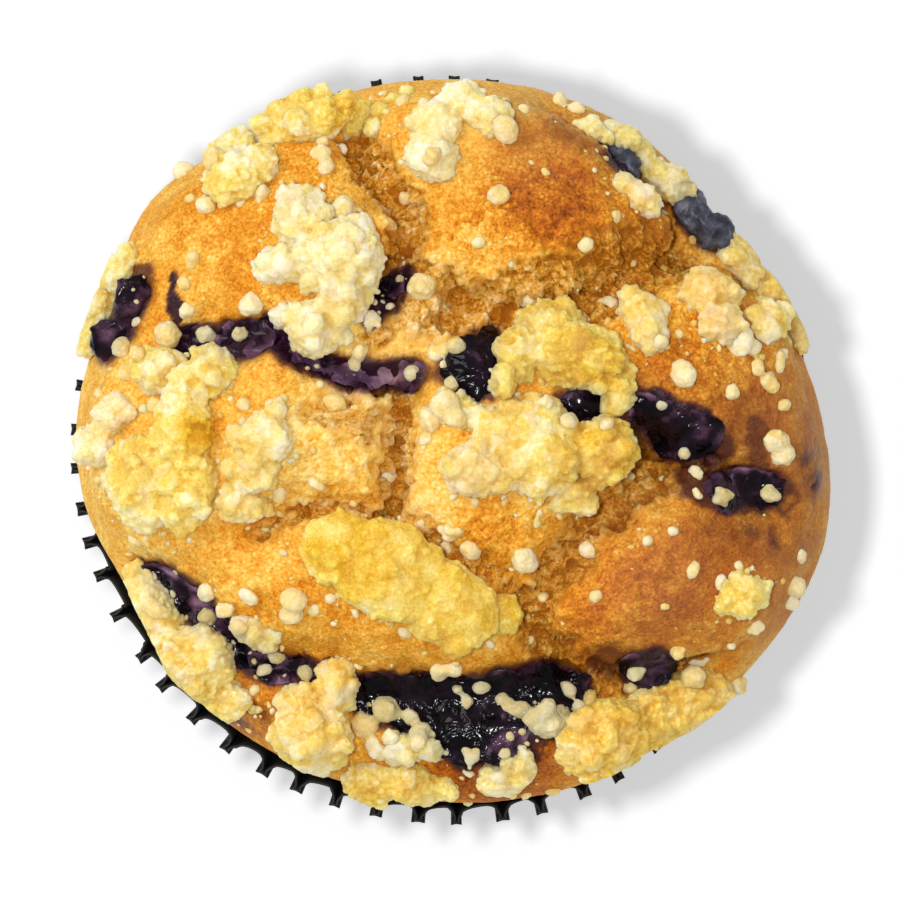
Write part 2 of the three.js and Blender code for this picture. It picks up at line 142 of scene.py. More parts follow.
NOISE_GAIN = 3.2           # brings the blended slopes to about -1 to 1


def hashed(cell, seed):
    """A repeatable value from 0 to 1 for each whole-number place: its three numbers and the seed
    are each multiplied by a large odd number, xored together and mixed by shifts and products."""
    x, y, z = cell.astype(np.int64).astype(np.uint32).T
    mix = x * np.uint32(0x8DA6B343) ^ y * np.uint32(0xD8163841) ^ z * np.uint32(0xCB1AB31F)
    mix ^= np.uint32((seed * 0x9E3779B1) & 0xFFFFFFFF)
    mix ^= mix >> np.uint32(15)
    mix *= np.uint32(0x2C1B3C6D)
    mix ^= mix >> np.uint32(12)
    mix *= np.uint32(0x297A2D39)
    mix ^= mix >> np.uint32(15)
    return mix / 2.0**32


def noise(points, size, seed):
    """Smooth noise from about -1 to 1 with blobs of a size: each corner of a cubic lattice has a
    random slope, and the eight slopes round a point are blended by an eased mix."""
    scaled = points / size
    base = np.floor(scaled)
    part = scaled - base
    ease = part**3 * (part * (part * 6 - 15) + 10)
    total = np.zeros(len(points))
    for corner in np.ndindex(2, 2, 2):
        weight = np.prod(np.where(corner, ease, 1 - ease), axis=1)
        slopes = np.stack([hashed(base + corner, seed + k) for k in (0, 101, 202)], axis=1) - 0.5
        total += weight * np.sum(slopes * (part - corner), axis=1)
    return total * NOISE_GAIN


def layered(points, size, seed, layers):
    """Noise added up over layers, each of half the size and half the height of the one before."""
    return sum(noise(points, size / 2**k, seed + 7 * k) * 0.5**k for k in range(layers))


def grains(points, size, seed):
    """Packed grains of a size: the distance from each point to the nearest grain's centre, in grain
    sizes, and that grain's own random value. Each cell of a cubic lattice holds one centre at a
    random place."""
    scaled = points / size
    base = np.floor(scaled)
    nearest = np.full(len(points), 9.0)
    own = np.zeros(len(points))
    for step in np.ndindex(3, 3, 3):
        cell = base + step - 1
        centre = cell + np.stack([hashed(cell, seed + k) for k in (0, 101, 202)], axis=1)
        away = np.linalg.norm(scaled - centre, axis=1)
        closer = away < nearest
        own = np.where(closer, hashed(cell, seed + 303), own)
        nearest = np.where(closer, away, nearest)
    return nearest, own


def smooth(low, high, value):
    """0 below low, 1 above high, and an eased rise between them."""
    part = np.clip((value - low) / (high - low), 0, 1)
    return part * part * (3 - 2 * part)


# ------------------------------------------------------------------ meshes


def grid_faces(rows, columns, closed=True):
    """Quads of a grid of points laid out row by row, each row closed on itself or not. With the
    rows going up and the columns going anticlockwise the faces point outwards."""
    row, column = np.meshgrid(
        np.arange(rows - 1), np.arange(columns if closed else columns - 1), indexing="ij"
    )
    beside = (column + 1) % columns
    low, high = row * columns, (row + 1) * columns
    quads = np.stack([low + column, low + beside, high + beside, high + column], axis=-1)
    return quads.reshape(-1, 4)


def fan_faces(loop, centre, outwards=True):
    """Triangles from a closed loop of points to one centre point."""
    beside = np.roll(loop, -1)
    pair = (loop, beside) if outwards else (beside, loop)
    return np.stack([*pair, np.full(len(loop), centre)], axis=1)


def mesh_from(name, points, *face_sets, scale=MM):
    """A mesh from arrays of points in mm and of faces with three or four corners."""
    mesh = bpy.data.meshes.new(name)
    mesh.vertices.add(len(points))
    mesh.vertices.foreach_set("co", (points * scale).astype(np.float32).ravel())
    corners = np.concatenate([faces.ravel() for faces in face_sets])
    sizes = np.concatenate([np.full(len(faces), faces.shape[1]) for faces in face_sets])
    mesh.loops.add(len(corners))
    mesh.loops.foreach_set("vertex_index", corners.astype(np.int32))
    mesh.polygons.add(len(sizes))
    starts = np.concatenate([[0], np.cumsum(sizes)[:-1]])
    mesh.polygons.foreach_set("loop_start", starts.astype(np.int32))
    mesh.polygons.foreach_set("loop_total", sizes.astype(np.int32))
    mesh.update(calc_edges=True)
    mesh.validate()
    return mesh


def add_piece(name, mesh, material, slot, nodes, **attributes):
    """Puts a finished mesh in the scene as one piece that rides on the root and stands for nodes.
    Attributes are one number for each point, which the material reads by name."""
    for title, values in attributes.items():
        layer = mesh.attributes.new(title, "FLOAT", "POINT")
        layer.data.foreach_set("value", np.asarray(values, np.float32))
    mesh.shade_smooth()
    mesh.materials.append(material)
    piece = bpy.data.objects.new(name, mesh)
    bpy.context.scene.collection.objects.link(piece)
    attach(piece, "root")
    if nodes:
        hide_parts(*nodes)
    return piece


def arrays_of(mesh, scale=1 / MM):
    """A mesh's points in mm and its faces as triangles and quads."""
    points = np.empty(len(mesh.vertices) * 3, np.float32)
    mesh.vertices.foreach_get("co", points)
    sizes = np.empty(len(mesh.polygons), np.int32)
    mesh.polygons.foreach_get("loop_total", sizes)
    starts = np.empty(len(mesh.polygons), np.int32)
    mesh.polygons.foreach_get("loop_start", starts)
    corners = np.empty(len(mesh.loops), np.int32)
    mesh.loops.foreach_get("vertex_index", corners)
    triangles, quads = (
        corners[starts[sizes == count][:, None] + np.arange(count)] for count in (3, 4)
    )
    return points.reshape(-1, 3).astype(float) * scale, triangles, quads


def point_normals(points, quads):
    """Outward directions at the points: the sum of the face normals round each, at length one."""
    diagonals = points[quads[:, 2]] - points[quads[:, 0]], points[quads[:, 3]] - points[quads[:, 1]]
    faces = np.cross(*diagonals)
    total = np.stack([
        np.bincount(quads.ravel(), np.repeat(faces[:, axis], 4), len(points)) for axis in range(3)
    ], axis=1)
    return total / np.maximum(np.linalg.norm(total, axis=1, keepdims=True), 1e-12)


def relaxed(points, quads, rounds):
    """Points moved round by round half the way to the mean of their neighbours."""
    ends = np.concatenate([quads, np.roll(quads, -1, axis=1)]).ravel()
    others = np.concatenate([np.roll(quads, -1, axis=1), quads]).ravel()
    count = np.maximum(np.bincount(ends, minlength=len(points)), 1)
    for _ in range(rounds):
        mean = np.stack([
            np.bincount(ends, points[others, axis], len(points)) / count for axis in range(3)
        ], axis=1)
        points = points + 0.5 * (mean - points)
    return points


def fused(voxel, *shapes):
    """Melts overlapping closed shapes, each given as points and triangles, into one closed skin of
    quads about a voxel wide. Blender's voxel remesh does it, because dough crumbs that stick
    together have no one surface of two parameters."""
    points, triangles = [], []
    for shape_points, shape_triangles in shapes:
        triangles.append(shape_triangles + sum(len(p) for p in points))
        points.append(shape_points)
    mesh = mesh_from("melt", np.concatenate(points), np.concatenate(triangles), scale=1.0)
    melt = bpy.data.objects.new("melt", mesh)
    bpy.context.scene.collection.objects.link(melt)
    remesh = melt.modifiers.new("melt", "REMESH")
    remesh.mode = "VOXEL"
    remesh.voxel_size = voxel
    done = melt.evaluated_get(bpy.context.evaluated_depsgraph_get())
    skin_points, _, quads = arrays_of(done.to_mesh(), scale=1.0)
    done.to_mesh_clear()
    bpy.data.objects.remove(melt)
    bpy.data.meshes.remove(mesh)
    return skin_points, quads


DENT_SHARE = 0.35          # how deep a ball's dents are beside its stretch


def ball(rows, columns):
    """Points and triangles of a ball of radius one, on a grid of heights and turns with its two
    poles closed."""
    lean = np.linspace(-np.pi / 2, np.pi / 2, rows + 2)[1:-1]
    turn = np.linspace(0, 2 * np.pi, columns, endpoint=False)
    lean, turn = np.meshgrid(lean, turn, indexing="ij")
    points = np.stack([np.cos(lean) * np.cos(turn), np.cos(lean) * np.sin(turn), np.sin(lean)], -1)
    points = np.concatenate([points.reshape(-1, 3), [(0, 0, -1), (0, 0, 1)]])
    quads = grid_faces(rows, columns)
    sides = np.concatenate([quads[:, [0, 1, 2]], quads[:, [0, 2, 3]]])
    foot = fan_faces(np.arange(columns), rows * columns, outwards=False)
    top = fan_faces(np.arange(columns) + (rows - 1) * columns, rows * columns + 1)
    return points, np.concatenate([sides, foot, top])


def balls(centres, radii, rows, columns, rough, rng, squash=1.0):
    """Many balls as one set of arrays: the ball stretched and dented at random by rough, turned at
    random, flattened by squash, and for each centre times its radius and moved there."""
    shape, triangles = ball(rows, columns)
    count = len(centres)
    spin = np.linalg.qr(rng.normal(size=(count, 3, 3)))[0]
    spin *= np.sign(np.linalg.det(spin))[:, None, None]
    stretch = 1 + rough * rng.uniform(-1, 1, (count, 1, 3))
    dents = 1 + rough * DENT_SHARE * rng.uniform(-1, 1, (count, len(shape), 1))
    shapes = np.einsum("nij,nkj->nki", spin, shape * stretch * dents) * (1, 1, squash)
    points = shapes * np.asarray(radii)[:, None, None] + np.asarray(centres)[:, None, :]
    faces = triangles[None] + (np.arange(count) * len(shape))[:, None, None]
    return points.reshape(-1, 3), faces.reshape(-1, 3)


# ------------------------------------------------------------------ plan masks

PLAN_HALF = 48.0
PLAN_CELL = 0.4


class PlanMask:
    """How much of the neighbourhood of a place, seen from above, is covered by some points: the
    plan is cut in square cells, covered ones count one, and the count is blurred by a bell of the
    given spread. Reading it blends the four cells round the place."""

    def __init__(self, points, spread):
        self.count = int(2 * PLAN_HALF / PLAN_CELL)
        covered = np.zeros((self.count, self.count))
        column, row = self.cell_of(points).astype(int).T
        covered[row, column] = 1
        wave = np.fft.fftfreq(self.count, PLAN_CELL)
        blur = np.exp(-2 * (np.pi * spread) ** 2 * (wave[:, None] ** 2 + wave[None] ** 2))
        self.cover = np.real(np.fft.ifft2(np.fft.fft2(covered) * blur))

    def cell_of(self, points):
        """The column and row of each point, with their parts of a cell."""
        return np.clip((points[:, :2] + PLAN_HALF) / PLAN_CELL, 0, self.count - 2)

    def at(self, points):
        """The share that is covered round each point."""
        place = np.clip(self.cell_of(points) - 0.5, 0, self.count - 2)
        column, row = np.floor(place).astype(int).T
        right, up = (place - np.floor(place)).T
        low = self.cover[row, column] * (1 - right) + self.cover[row, column + 1] * right
        high = self.cover[row + 1, column] * (1 - right) + self.cover[row + 1, column + 1] * right
        return low * (1 - up) + high * up


# ------------------------------------------------------------------ materials


def linear(hex_colour):
    """An sRGB hex value as linear red, green, blue and alpha."""
    parts = np.array([int(hex_colour[k:k + 2], 16) / 255 for k in (1, 3, 5)])
    parts = np.where(parts <= 0.04045, parts / 12.92, ((parts + 0.055) / 1.055) ** 2.4)
    return (*parts, 1.0)


def add(tree, kind, inputs=(), stops=(), **settings):
    """Adds a node: settings are its own properties, inputs are numbers, colours or other nodes'
    outputs for its sockets, and stops are the places and colours of a ramp."""
    new = tree.nodes.new(kind)
    for title, value in settings.items():
        setattr(new, title, value)
    for socket, value in dict(inputs).items():
        if isinstance(value, bpy.types.NodeSocket):
            tree.links.new(value, new.inputs[socket])
        else:
            new.inputs[socket].default_value = value
    for number, (place, colour) in enumerate(stops):
        ramp = new.color_ramp.elements
        stop = ramp[number] if number < 2 else ramp.new(place)
        stop.position = place
        stop.color = linear(colour)
    return new


def new_material(title, **sockets):
    """A material of one shader, whose sockets are set, with its tree, shader and object place."""
    material = bpy.data.materials.new(title)
    material.use_nodes = True
    tree = material.node_tree
    shader = tree.nodes["Principled BSDF"]
    for socket, value in sockets.items():
        shader.inputs[socket.replace("_", " ")].default_value = value
    place = add(tree, "ShaderNodeTexCoord").outputs["Object"]
    return material, tree, shader, place


def crust_material():
    """Baked batter. Thin dry golden to brown crust, matt with a faint grain of closed bubbles a
    third to half a millimetre wide, and where it has torn the open, moist, yellow crumb."""
    material, tree, shader, place = new_material(
        "baked_batter_crust", IOR=1.4, Specular_IOR_Level=0.3,
        Subsurface_Weight=0.5, Subsurface_Scale=0.0012, Subsurface_Radius=(1.0, 0.55, 0.22),
    )
    bake, torn, stain, dusk, pit = (
        add(tree, "ShaderNodeAttribute", attribute_name=name).outputs["Fac"]
        for name in ("bake", "torn", "stain", "dusk", "pit")
    )
    patches = add(tree, "ShaderNodeTexNoise", {
        "Vector": place, "Scale": 1 / (2.4 * MM), "Detail": 3.0, "Roughness": 0.6,
    }).outputs["Fac"]
    grain = add(tree, "ShaderNodeTexNoise", {
        "Vector": place, "Scale": 1 / (0.34 * MM), "Detail": 3.0, "Roughness": 0.65,
    }).outputs["Fac"]
    pores = add(tree, "ShaderNodeTexVoronoi", {
        "Vector": place, "Scale": 1 / (0.9 * MM),
    }).outputs["Distance"]
    bubbles = add(tree, "ShaderNodeTexVoronoi", {"Vector": place, "Scale": 1 / (0.55 * MM)})
    film = add(tree, "ShaderNodeMapRange", {
        "Value": bubbles.outputs["Distance"],
        "From Min": 0.1, "From Max": 0.65, "To Min": 1.0, "To Max": 0.0,
    }, interpolation_type="SMOOTHSTEP").outputs["Result"]
    chosen = add(tree, "ShaderNodeSeparateColor", {"Color": bubbles.outputs["Color"]}).outputs["Red"]
    sandy = add(tree, "ShaderNodeTexNoise", {
        "Vector": place, "Scale": 1 / (6.0 * MM), "Detail": 2.0,
    }).outputs["Fac"]
    sandy = add(tree, "ShaderNodeMapRange", {
        "Value": sandy, "From Min": 0.42, "From Max": 0.62, "To Min": 0.4, "To Max": 1.5,
    }, interpolation_type="SMOOTHSTEP").outputs["Result"]
    blister = film
    for share in (chosen, sandy):
        blister = add(tree, "ShaderNodeMath", {0: blister, 1: share}, operation="MULTIPLY").outputs[0]

    # Both sums take the pit, so crust turns browner and crumb darker in hollows: painted shade.
    sums = []
    for total, shares in (
        (-0.64, (0.54, 0.95, -0.2, 0.55, 1.0, -0.09)),   # how brown whole crust is
        (-0.5, (0.9, 1.2, 0.28, -0.5, -0.9, 0.0)),       # how pale torn crumb is
    ):
        for source, share in zip((patches, grain, blister, pit, bake, sandy), shares):
            total = add(tree, "ShaderNodeMath", {0: source, 1: share, 2: total},
                        operation="MULTIPLY_ADD").outputs[0]
        sums.append(total)
    crust = add(tree, "ShaderNodeValToRGB", {"Fac": sums[0]}, stops=[
        (0.0, "#F8DC96"), (1.0, "#783800"), (0.2, "#F4C65C"), (0.45, "#E29A24"),
        (0.65, "#C8720A"), (0.82, "#A85402"),
    ]).outputs["Color"]
    # Pores darkened toward #A06A44, more where the crust is baked deeper: painted shade in the holes.
    hole = add(tree, "ShaderNodeMapRange", {
        "Value": pores, "From Min": 0.08, "From Max": 0.22, "To Min": 1.0, "To Max": 0.0,
    }).outputs["Result"]
    open_holes = add(tree, "ShaderNodeMath", {0: bake, 1: 2.4, 2: -0.75}, operation="MULTIPLY_ADD",
                     use_clamp=True)
    holed = add(tree, "ShaderNodeMath", {0: hole, 1: open_holes.outputs[0]}, operation="MULTIPLY")
    pore_shaded = add(tree, "ShaderNodeMix", {
        "Factor": holed.outputs[0], "A": crust, "B": linear("#A06A44"),
    }, data_type="RGBA", blend_type="MULTIPLY").outputs["Result"]

    crumb = add(tree, "ShaderNodeValToRGB", {"Fac": sums[1]}, stops=[
        (0.0, "#A86206"), (0.8, "#F4E0B0"), (0.16, "#C88618"), (0.34, "#D8A448"), (0.55, "#E2BE7E"),
    ]).outputs["Color"]
    light_stain = add(tree, "ShaderNodeMath", {0: stain, 1: 1.7}, operation="MULTIPLY", use_clamp=True)
    heavy_stain = add(tree, "ShaderNodeMath", {0: stain, 1: 2.1, 2: -0.75},
                      operation="MULTIPLY_ADD", use_clamp=True)
    colour = pore_shaded
    for amount, over, blend in (
        (torn, crumb, "MIX"),
        # Duller, pinker brown, mostly on the dome's right: partly painted shade.
        (dusk, linear("#A46A44"), "MIX"),
        (light_stain.outputs[0], linear("#A08496"), "MULTIPLY"),
        (heavy_stain.outputs[0], linear("#2A1224"), "MIX"),
    ):
        colour = add(tree, "ShaderNodeMix", {"Factor": amount, "A": colour, "B": over},
                     data_type="RGBA", blend_type=blend).outputs["Result"]
    tree.links.new(colour, shader.inputs["Base Color"])
    gloss = add(tree, "ShaderNodeMath", {0: stain, 1: -0.62, 2: 0.72}, operation="MULTIPLY_ADD")
    tree.links.new(gloss.outputs[0], shader.inputs["Roughness"])

    pits = add(tree, "ShaderNodeMath", {0: pores, 1: 0.4, 2: grain}, operation="MULTIPLY_ADD")
    skin = add(tree, "ShaderNodeMath", {0: blister, 1: 0.5, 2: pits.outputs[0]},
               operation="MULTIPLY_ADD")
    bump = add(tree, "ShaderNodeBump", {
        "Height": skin.outputs[0], "Strength": 0.6, "Distance": 0.22 * MM,
    })
    tree.links.new(bump.outputs["Normal"], shader.inputs["Normal"])
    return material


def streusel_material(title, glow, depth):
    """Crumble of butter, sugar and flour. Pale, dry and short, gritty with sugar of 0.3 to 0.5 mm,
    with a deeper yellow painted into its creases as shade and bounced light, toasted where it
    stands proud and grey-green where jam has soaked it. Light enters it by the share glow and the
    depth in mm, small for loose crumbs."""
    material, tree, shader, place = new_material(
        title, Roughness=0.7, IOR=1.4, Specular_IOR_Level=0.2,
        Subsurface_Weight=glow, Subsurface_Scale=depth * MM, Subsurface_Radius=(1.0, 0.88, 0.6),
    )
    crease, butter, toast, damp = (
        add(tree, "ShaderNodeAttribute", attribute_name=name).outputs["Fac"]
        for name in ("crease", "butter", "toast", "damp")
    )
    patches = add(tree, "ShaderNodeTexNoise", {
        "Vector": place, "Scale": 1 / (1.6 * MM), "Detail": 2.0,
    }).outputs["Fac"]
    grain = add(tree, "ShaderNodeTexNoise", {
        "Vector": place, "Scale": 1 / (0.3 * MM), "Detail": 3.0, "Roughness": 0.6,
    }).outputs["Fac"]
    # The crease share paints creases a deeper yellow as shade and bounced light; butter adds real yellow.
    butter_and_crease_shade = -0.6
    for source, share in ((patches, 0.5), (grain, 0.7), (crease, 1.0), (butter, 1.0)):
        butter_and_crease_shade = add(tree, "ShaderNodeMath", {0: source, 1: share, 2: butter_and_crease_shade},
                   operation="MULTIPLY_ADD").outputs[0]
    colour = add(tree, "ShaderNodeValToRGB", {"Fac": butter_and_crease_shade}, stops=[
        (0.0, "#F6ECD0"), (1.0, "#CA900E"), (0.25, "#F2E3AA"), (0.5, "#EDD36E"), (0.75, "#E0B636"),
    ]).outputs["Color"]
    for amount, over in ((toast, "#DC9C48"), (damp, "#ACAA8A")):
        colour = add(tree, "ShaderNodeMix", {"Factor": amount, "A": colour, "B": linear(over)},
                     data_type="RGBA").outputs["Result"]
    tree.links.new(colour, shader.inputs["Base Color"])
    sugar = add(tree, "ShaderNodeTexVoronoi", {
        "Vector": place, "Scale": 1 / (0.5 * MM),
    }).outputs["Distance"]
    gritty = add(tree, "ShaderNodeMath", {0: sugar, 1: -0.8, 2: grain}, operation="MULTIPLY_ADD")
    bump = add(tree, "ShaderNodeBump", {
        "Height": gritty.outputs[0], "Strength": 0.7, "Distance": 0.16 * MM,
    })
    tree.links.new(bump.outputs["Normal"], shader.inputs["Normal"])
    return material


def jam_material():
    """Burst and boiled blueberry. Wet, nearly black where it lies thick and purple where it is
    thin, under a syrup gloss that breaks into small highlights."""
    material, tree, shader, place = new_material(
        "blueberry_jam", Roughness=0.14, IOR=1.38, Specular_IOR_Level=0.22,
    )
    thin = add(tree, "ShaderNodeAttribute", attribute_name="thin").outputs["Fac"]
    patches = add(tree, "ShaderNodeTexNoise", {
        "Vector": place, "Scale": 1 / (2.2 * MM), "Detail": 3.0,
    }).outputs["Fac"]
    wander = add(tree, "ShaderNodeMath", {0: patches, 1: 1.4, 2: -0.72}, operation="MULTIPLY_ADD")
    depth = add(tree, "ShaderNodeMath", {0: wander.outputs[0], 1: thin}, operation="ADD").outputs[0]
    colour = add(tree, "ShaderNodeValToRGB", {"Fac": depth}, stops=[
        (0.0, "#060308"), (1.0, "#A88292"), (0.28, "#1C0F1B"), (0.6, "#5C3E54"),
    ]).outputs["Color"]
    tree.links.new(colour, shader.inputs["Base Color"])
    wrinkles = add(tree, "ShaderNodeTexNoise", {
        "Vector": place, "Scale": 1 / (2.0 * MM), "Detail": 1.5, "Distortion": 1.2,
    }).outputs["Fac"]
    bump = add(tree, "ShaderNodeBump", {"Height": wrinkles, "Strength": 0.9, "Distance": 0.5 * MM})
    tree.links.new(bump.outputs["Normal"], shader.inputs["Normal"])
    return material


def skin_material():
    """Blueberry skin. Slate blue, with what is left of its waxy bloom in patches of 1 to 2 mm,
    wrinkled by the heat."""
    material, tree, shader, place = new_material(
        "baked_blueberry_skin", Roughness=0.36, IOR=1.4, Specular_IOR_Level=0.4,
    )
    bloom = add(tree, "ShaderNodeTexNoise", {
        "Vector": place, "Scale": 1 / (1.4 * MM), "Detail": 4.0, "Roughness": 0.65,
    }).outputs["Fac"]
    colour = add(tree, "ShaderNodeValToRGB", {"Fac": bloom}, stops=[
        (0.3, "#1C1B24"), (0.74, "#6A6E7C"), (0.5, "#3C3E4A"),
    ]).outputs["Color"]
    tree.links.new(colour, shader.inputs["Base Color"])
    bump = add(tree, "ShaderNodeBump", {"Height": bloom, "Strength": 0.5, "Distance": 0.2 * MM})
    tree.links.new(bump.outputs["Normal"], shader.inputs["Normal"])
    return material


def paper_material():
    """Black greaseproof paper, pressed into flutes. Dense, smooth and faintly glossy. Its fibres
    are a fiftieth of a millimetre wide, too fine to show, so clouds of 0.5 mm stand for them."""
    material, tree, shader, place = new_material("black_greaseproof_paper", IOR=1.5)
    fibres = add(tree, "ShaderNodeTexNoise", {
        "Vector": place, "Scale": 1 / (0.5 * MM), "Detail": 5.0, "Roughness": 0.7,
    }).outputs["Fac"]
    colour = add(tree, "ShaderNodeValToRGB", {"Fac": fibres}, stops=[
        (0.3, "#040606"), (0.75, "#0E1212"),
    ]).outputs["Color"]
    tree.links.new(colour, shader.inputs["Base Color"])
    gloss = add(tree, "ShaderNodeMath", {0: fibres, 1: 0.3, 2: 0.42}, operation="MULTIPLY_ADD")
    tree.links.new(gloss.outputs[0], shader.inputs["Roughness"])
    bump = add(tree, "ShaderNodeBump", {"Height": fibres, "Strength": 0.3, "Distance": 0.05 * MM})
    tree.links.new(bump.outputs["Normal"], shader.inputs["Normal"])
    return material


# ------------------------------------------------------------------ cake

CAKE_HALF_GRID = 146       # cells from the middle of the dome to its edge
EVENING_STAGES = 6
EVENING_ROUNDS = 30
STEEPEST = 4               # most that a slope counts as longer than its plan
LIP_STEPS = (0.3, 0.6, 0.85, 1.0)  # of the quarter turn under the dome's edge
CONE_STEPS = (1.0, 0.5, 0.0)       # of the way up the case's inside
TORN_PATCHES = [           # open crumb beside the cracks: centre x, y, half sizes, turn, amount
    (12.0, 18.5, 9.5, 2.6, 6, 1.0),
    (22.5, 20.5, 5.0, 2.2, 18, 1.0),
    (18.0, 21.5, 7.0, 2.6, 10, 1.0),
    (-7.5, 12.0, 2.4, 2.0, 30, 0.9),
    (-11.0, 3.4, 6.5, 3.8, -12, 0.78),
    (-2.0, 14.0, 5.2, 3.4, 0, 1.0),
    (-1.0, 18.5, 3.0, 3.0, 0, 0.6),
    (15.5, -7.5, 4.0, 1.6, 40, 0.8),
    (9.5, -20.0, 3.0, 3.2, 0, 0.9),
    (-4.5, -1.0, 1.5, 5.0, 0, 0.7),
]
# How puckered the crust is, like orange peel, and where more so: centre x, y, reach and amount.
PUCKER_BASE = 0.16
PUCKERED = [
    (-16, -10, 9, 0.26),
    (-14, 4, 8, 0.24),
    (4, -10, 7, 0.26),
    (10, 22, 7, 0.30),
    (2, 24, 5, 0.26),
    (16, 33, 5, 0.18),
    (-14, 18, 6, 0.20),
    (18, -13, 6, 0.20),
    (28, 10, 7, 0.24),
    (-30, 6, 5, 0.16),
]
# How deeply the crust is baked, and where more or less so: centre x, y, reach and amount.
BAKE_BASE = 0.34
BAKED = [
    (-24, 24, 10, 0.13),
    (-20, 12, 6, 0.06),
    (-8, 21, 4, 0.22),
    (-13, 30, 5, 0.12),
    (13, 26, 6.5, 0.30),
    (8, 28.5, 5, 0.10),
    (20.7, 23, 3.5, 0.16),
    (2, 32, 4, -0.10),
    (-3, 12.5, 4, -0.12),
    (7, 27, 7, 0.14),
    (23, 24, 5, 0.10),
    (24, 9, 9, 0.22),
    (36, 6, 9, 0.14),
    (30, 0, 7, 0.06),
    (15, -15, 8, 0.07),
    (20.5, -12, 4, 0.12),
    (24, -16, 8, 0.26),
    (34, -12, 9, 0.20),
    (14, -22, 5, 0.25),
    (4, -10, 4, 0.14),
    (-12, 2, 8, -0.14),
    (-3, -6, 5, -0.10),
    (-34, -2, 9, -0.06),
    (-16, -20, 6, 0.12),
    (-20, -29, 7, 0.25),
    (2, -36, 10, 0.40),
    (9, -34, 4, 0.18),
    (-5.6, 24, 2, -0.2),
    (-33.6, -9.7, 4, -0.06),
]
# Where a film of jam is thin enough to be pale: centre x, y, reach and amount.
PALE_FILMS = [
    (-5.5, 7.4, 2.8, 0.36),
    (-26, 11.5, 2.5, 0.2),
    (6, -32.5, 3.5, 0.25),
    (31, -1, 3, 0.15),
]
# Purple juice soaked into the crust away from the fruit: centre x, y, half sizes, turn, amount.
STAINS = [
    (33, -9.5, 7, 2.6, -8, 0.38),
    (39, -3, 2.6, 5, 0, 0.45),
    (30, 2, 6, 4, 0, 0.30),
    (20, 5, 3.5, 2.5, 0, 0.45),
    (17, 32, 7, 2.5, -35, 0.24),
    (-23, -29, 4, 2.5, -20, 0.5),
    (6, -32, 6, 2.5, 0, 0.4),
]
# Films of jam on the crust: half width, amount and the line that each follows.
FILMS = [
    (1.9, 0.85, [(-18, 11), (-14, 8.8), (-10, 7.2), (-5, 7.6)]),
    (2.2, 0.9, [(-28.5, 11.2), (-24, 11), (-20, 12.5)]),
    (0.6, 0.8, [(-29.6, 18), (-29.8, 13)]),
    (2.0, 0.8, [(-8.5, 14.5), (-5, 18)]),
    (1.8, 0.75, [(-33.5, -14), (-30, -16.5), (-25, -20.5), (-21, -24), (-15, -24.5)]),
    (3.2, 0.6, [(19, 4.5), (25, 1.5), (28, 0)]),
    (2.6, 0.6, [(26, -4), (31, -5.5), (35.5, -5)]),
    (1.5, 0.5, [(33, 2), (33.5, -2)]),
    (2.2, 0.5, [(16.5, -23), (21.5, -24.5)]),
    (1.6, 0.6, [(-37.5, 10), (-33.5, 19)]),
    (1.0, 0.34, [(11.5, 34), (17, 31.5), (22, 28), (28, 22)]),
    (3.0, 0.8, [(-9, -27), (0, -31), (8, -31.5), (12, -28)]),
    (1.8, 0.7, [(3, 6), (2.5, 10.5)]),
    (1.8, 0.7, [(11.5, 4), (17, 4.5)]),
]
# Duller, pinker brown places of the crust, mostly on its right away from the softbox, where they are
# partly painted shade: centre x, y, reach and amount.
DULL_AND_SHADED = [
    (40, 2, 11, 0.55),
    (37, -16, 9, 0.5),
    (20, 36, 10, 0.3),
    (9, 34, 7, 0.36),
    (24, -15, 9, 0.42),
]


def bell(x, y, centre_x, centre_y, reach):
    """A round bell in plan: exp of minus the squared distance from its centre, in reaches."""
    return np.exp(-((x - centre_x) ** 2 + (y - centre_y) ** 2) / reach**2)


def with_bells(total, x, y, places):
    """A value over the plan with a round bell of an amount added to it at each place."""
    for *place, amount in places:
        total = total + amount * bell(x, y, *place)
    return total


def blob(x, y, centre_x, centre_y, half_x, half_y, turn):
    """A bell over an ellipse: exp of minus the squared distance in half sizes along its turned axes."""
    cosine, sine = np.cos(np.radians(turn)), np.sin(np.radians(turn))
    along = (x - centre_x) * cosine + (y - centre_y) * sine
    across = (y - centre_y) * cosine - (x - centre_x) * sine
    return np.exp(-((along / half_x) ** 2) - (across / half_y) ** 2)


def bells(places, turn):
    """The sum of bells round a circle, each with a direction, a width and an amount."""
    total = np.zeros_like(turn)
    for direction, width, amount in places:
        away = np.abs((np.degrees(turn) - direction + 540) % 360 - 180)
        total += amount * np.exp(-((away / width) ** 2))
    return total


def edge_radius(turn):
    """The dome's radius in a direction: the mean radius with a bell added for each bulge."""
    return DOME_RADIUS + bells(EDGE_BULGES, turn)


def distance_to(path, x, y):
    """Distance in plan to a line through the path's points."""
    nearest = np.full_like(x, np.inf)
    for (ax, ay), (bx, by) in zip(path, path[1:]):
        dx, dy = bx - ax, by - ay
        along = np.clip(((x - ax) * dx + (y - ay) * dy) / (dx * dx + dy * dy), 0, 1)
        nearest = np.minimum(nearest, np.hypot(x - ax - along * dx, y - ay - along * dy))
    return nearest


def relief(x, y):
    """How far the crust stands above the plain dome: a groove along each crack, a swell away from
    the nearest crack, and a bell for each lobe or hollow. Also how torn the place is."""
    height = np.zeros_like(x)
    nearest = np.full_like(x, np.inf)
    torn = np.zeros_like(x)
    for width, depth, bare, path in CRACKS:
        distance = distance_to(path, x, y)
        height -= depth * np.exp(-((distance / width) ** 2))
        torn = np.maximum(torn, np.exp(-((distance / bare) ** 2)))
        nearest = np.minimum(nearest, distance)
    height += PUFF_RISE * (1 - np.exp(-((nearest / PUFF_REACH) ** 2)))
    height = with_bells(height, x, y, SWELLS)
    for *patch, amount in TORN_PATCHES:
        torn = np.maximum(torn, amount * blob(x, y, *patch))
    return height, torn


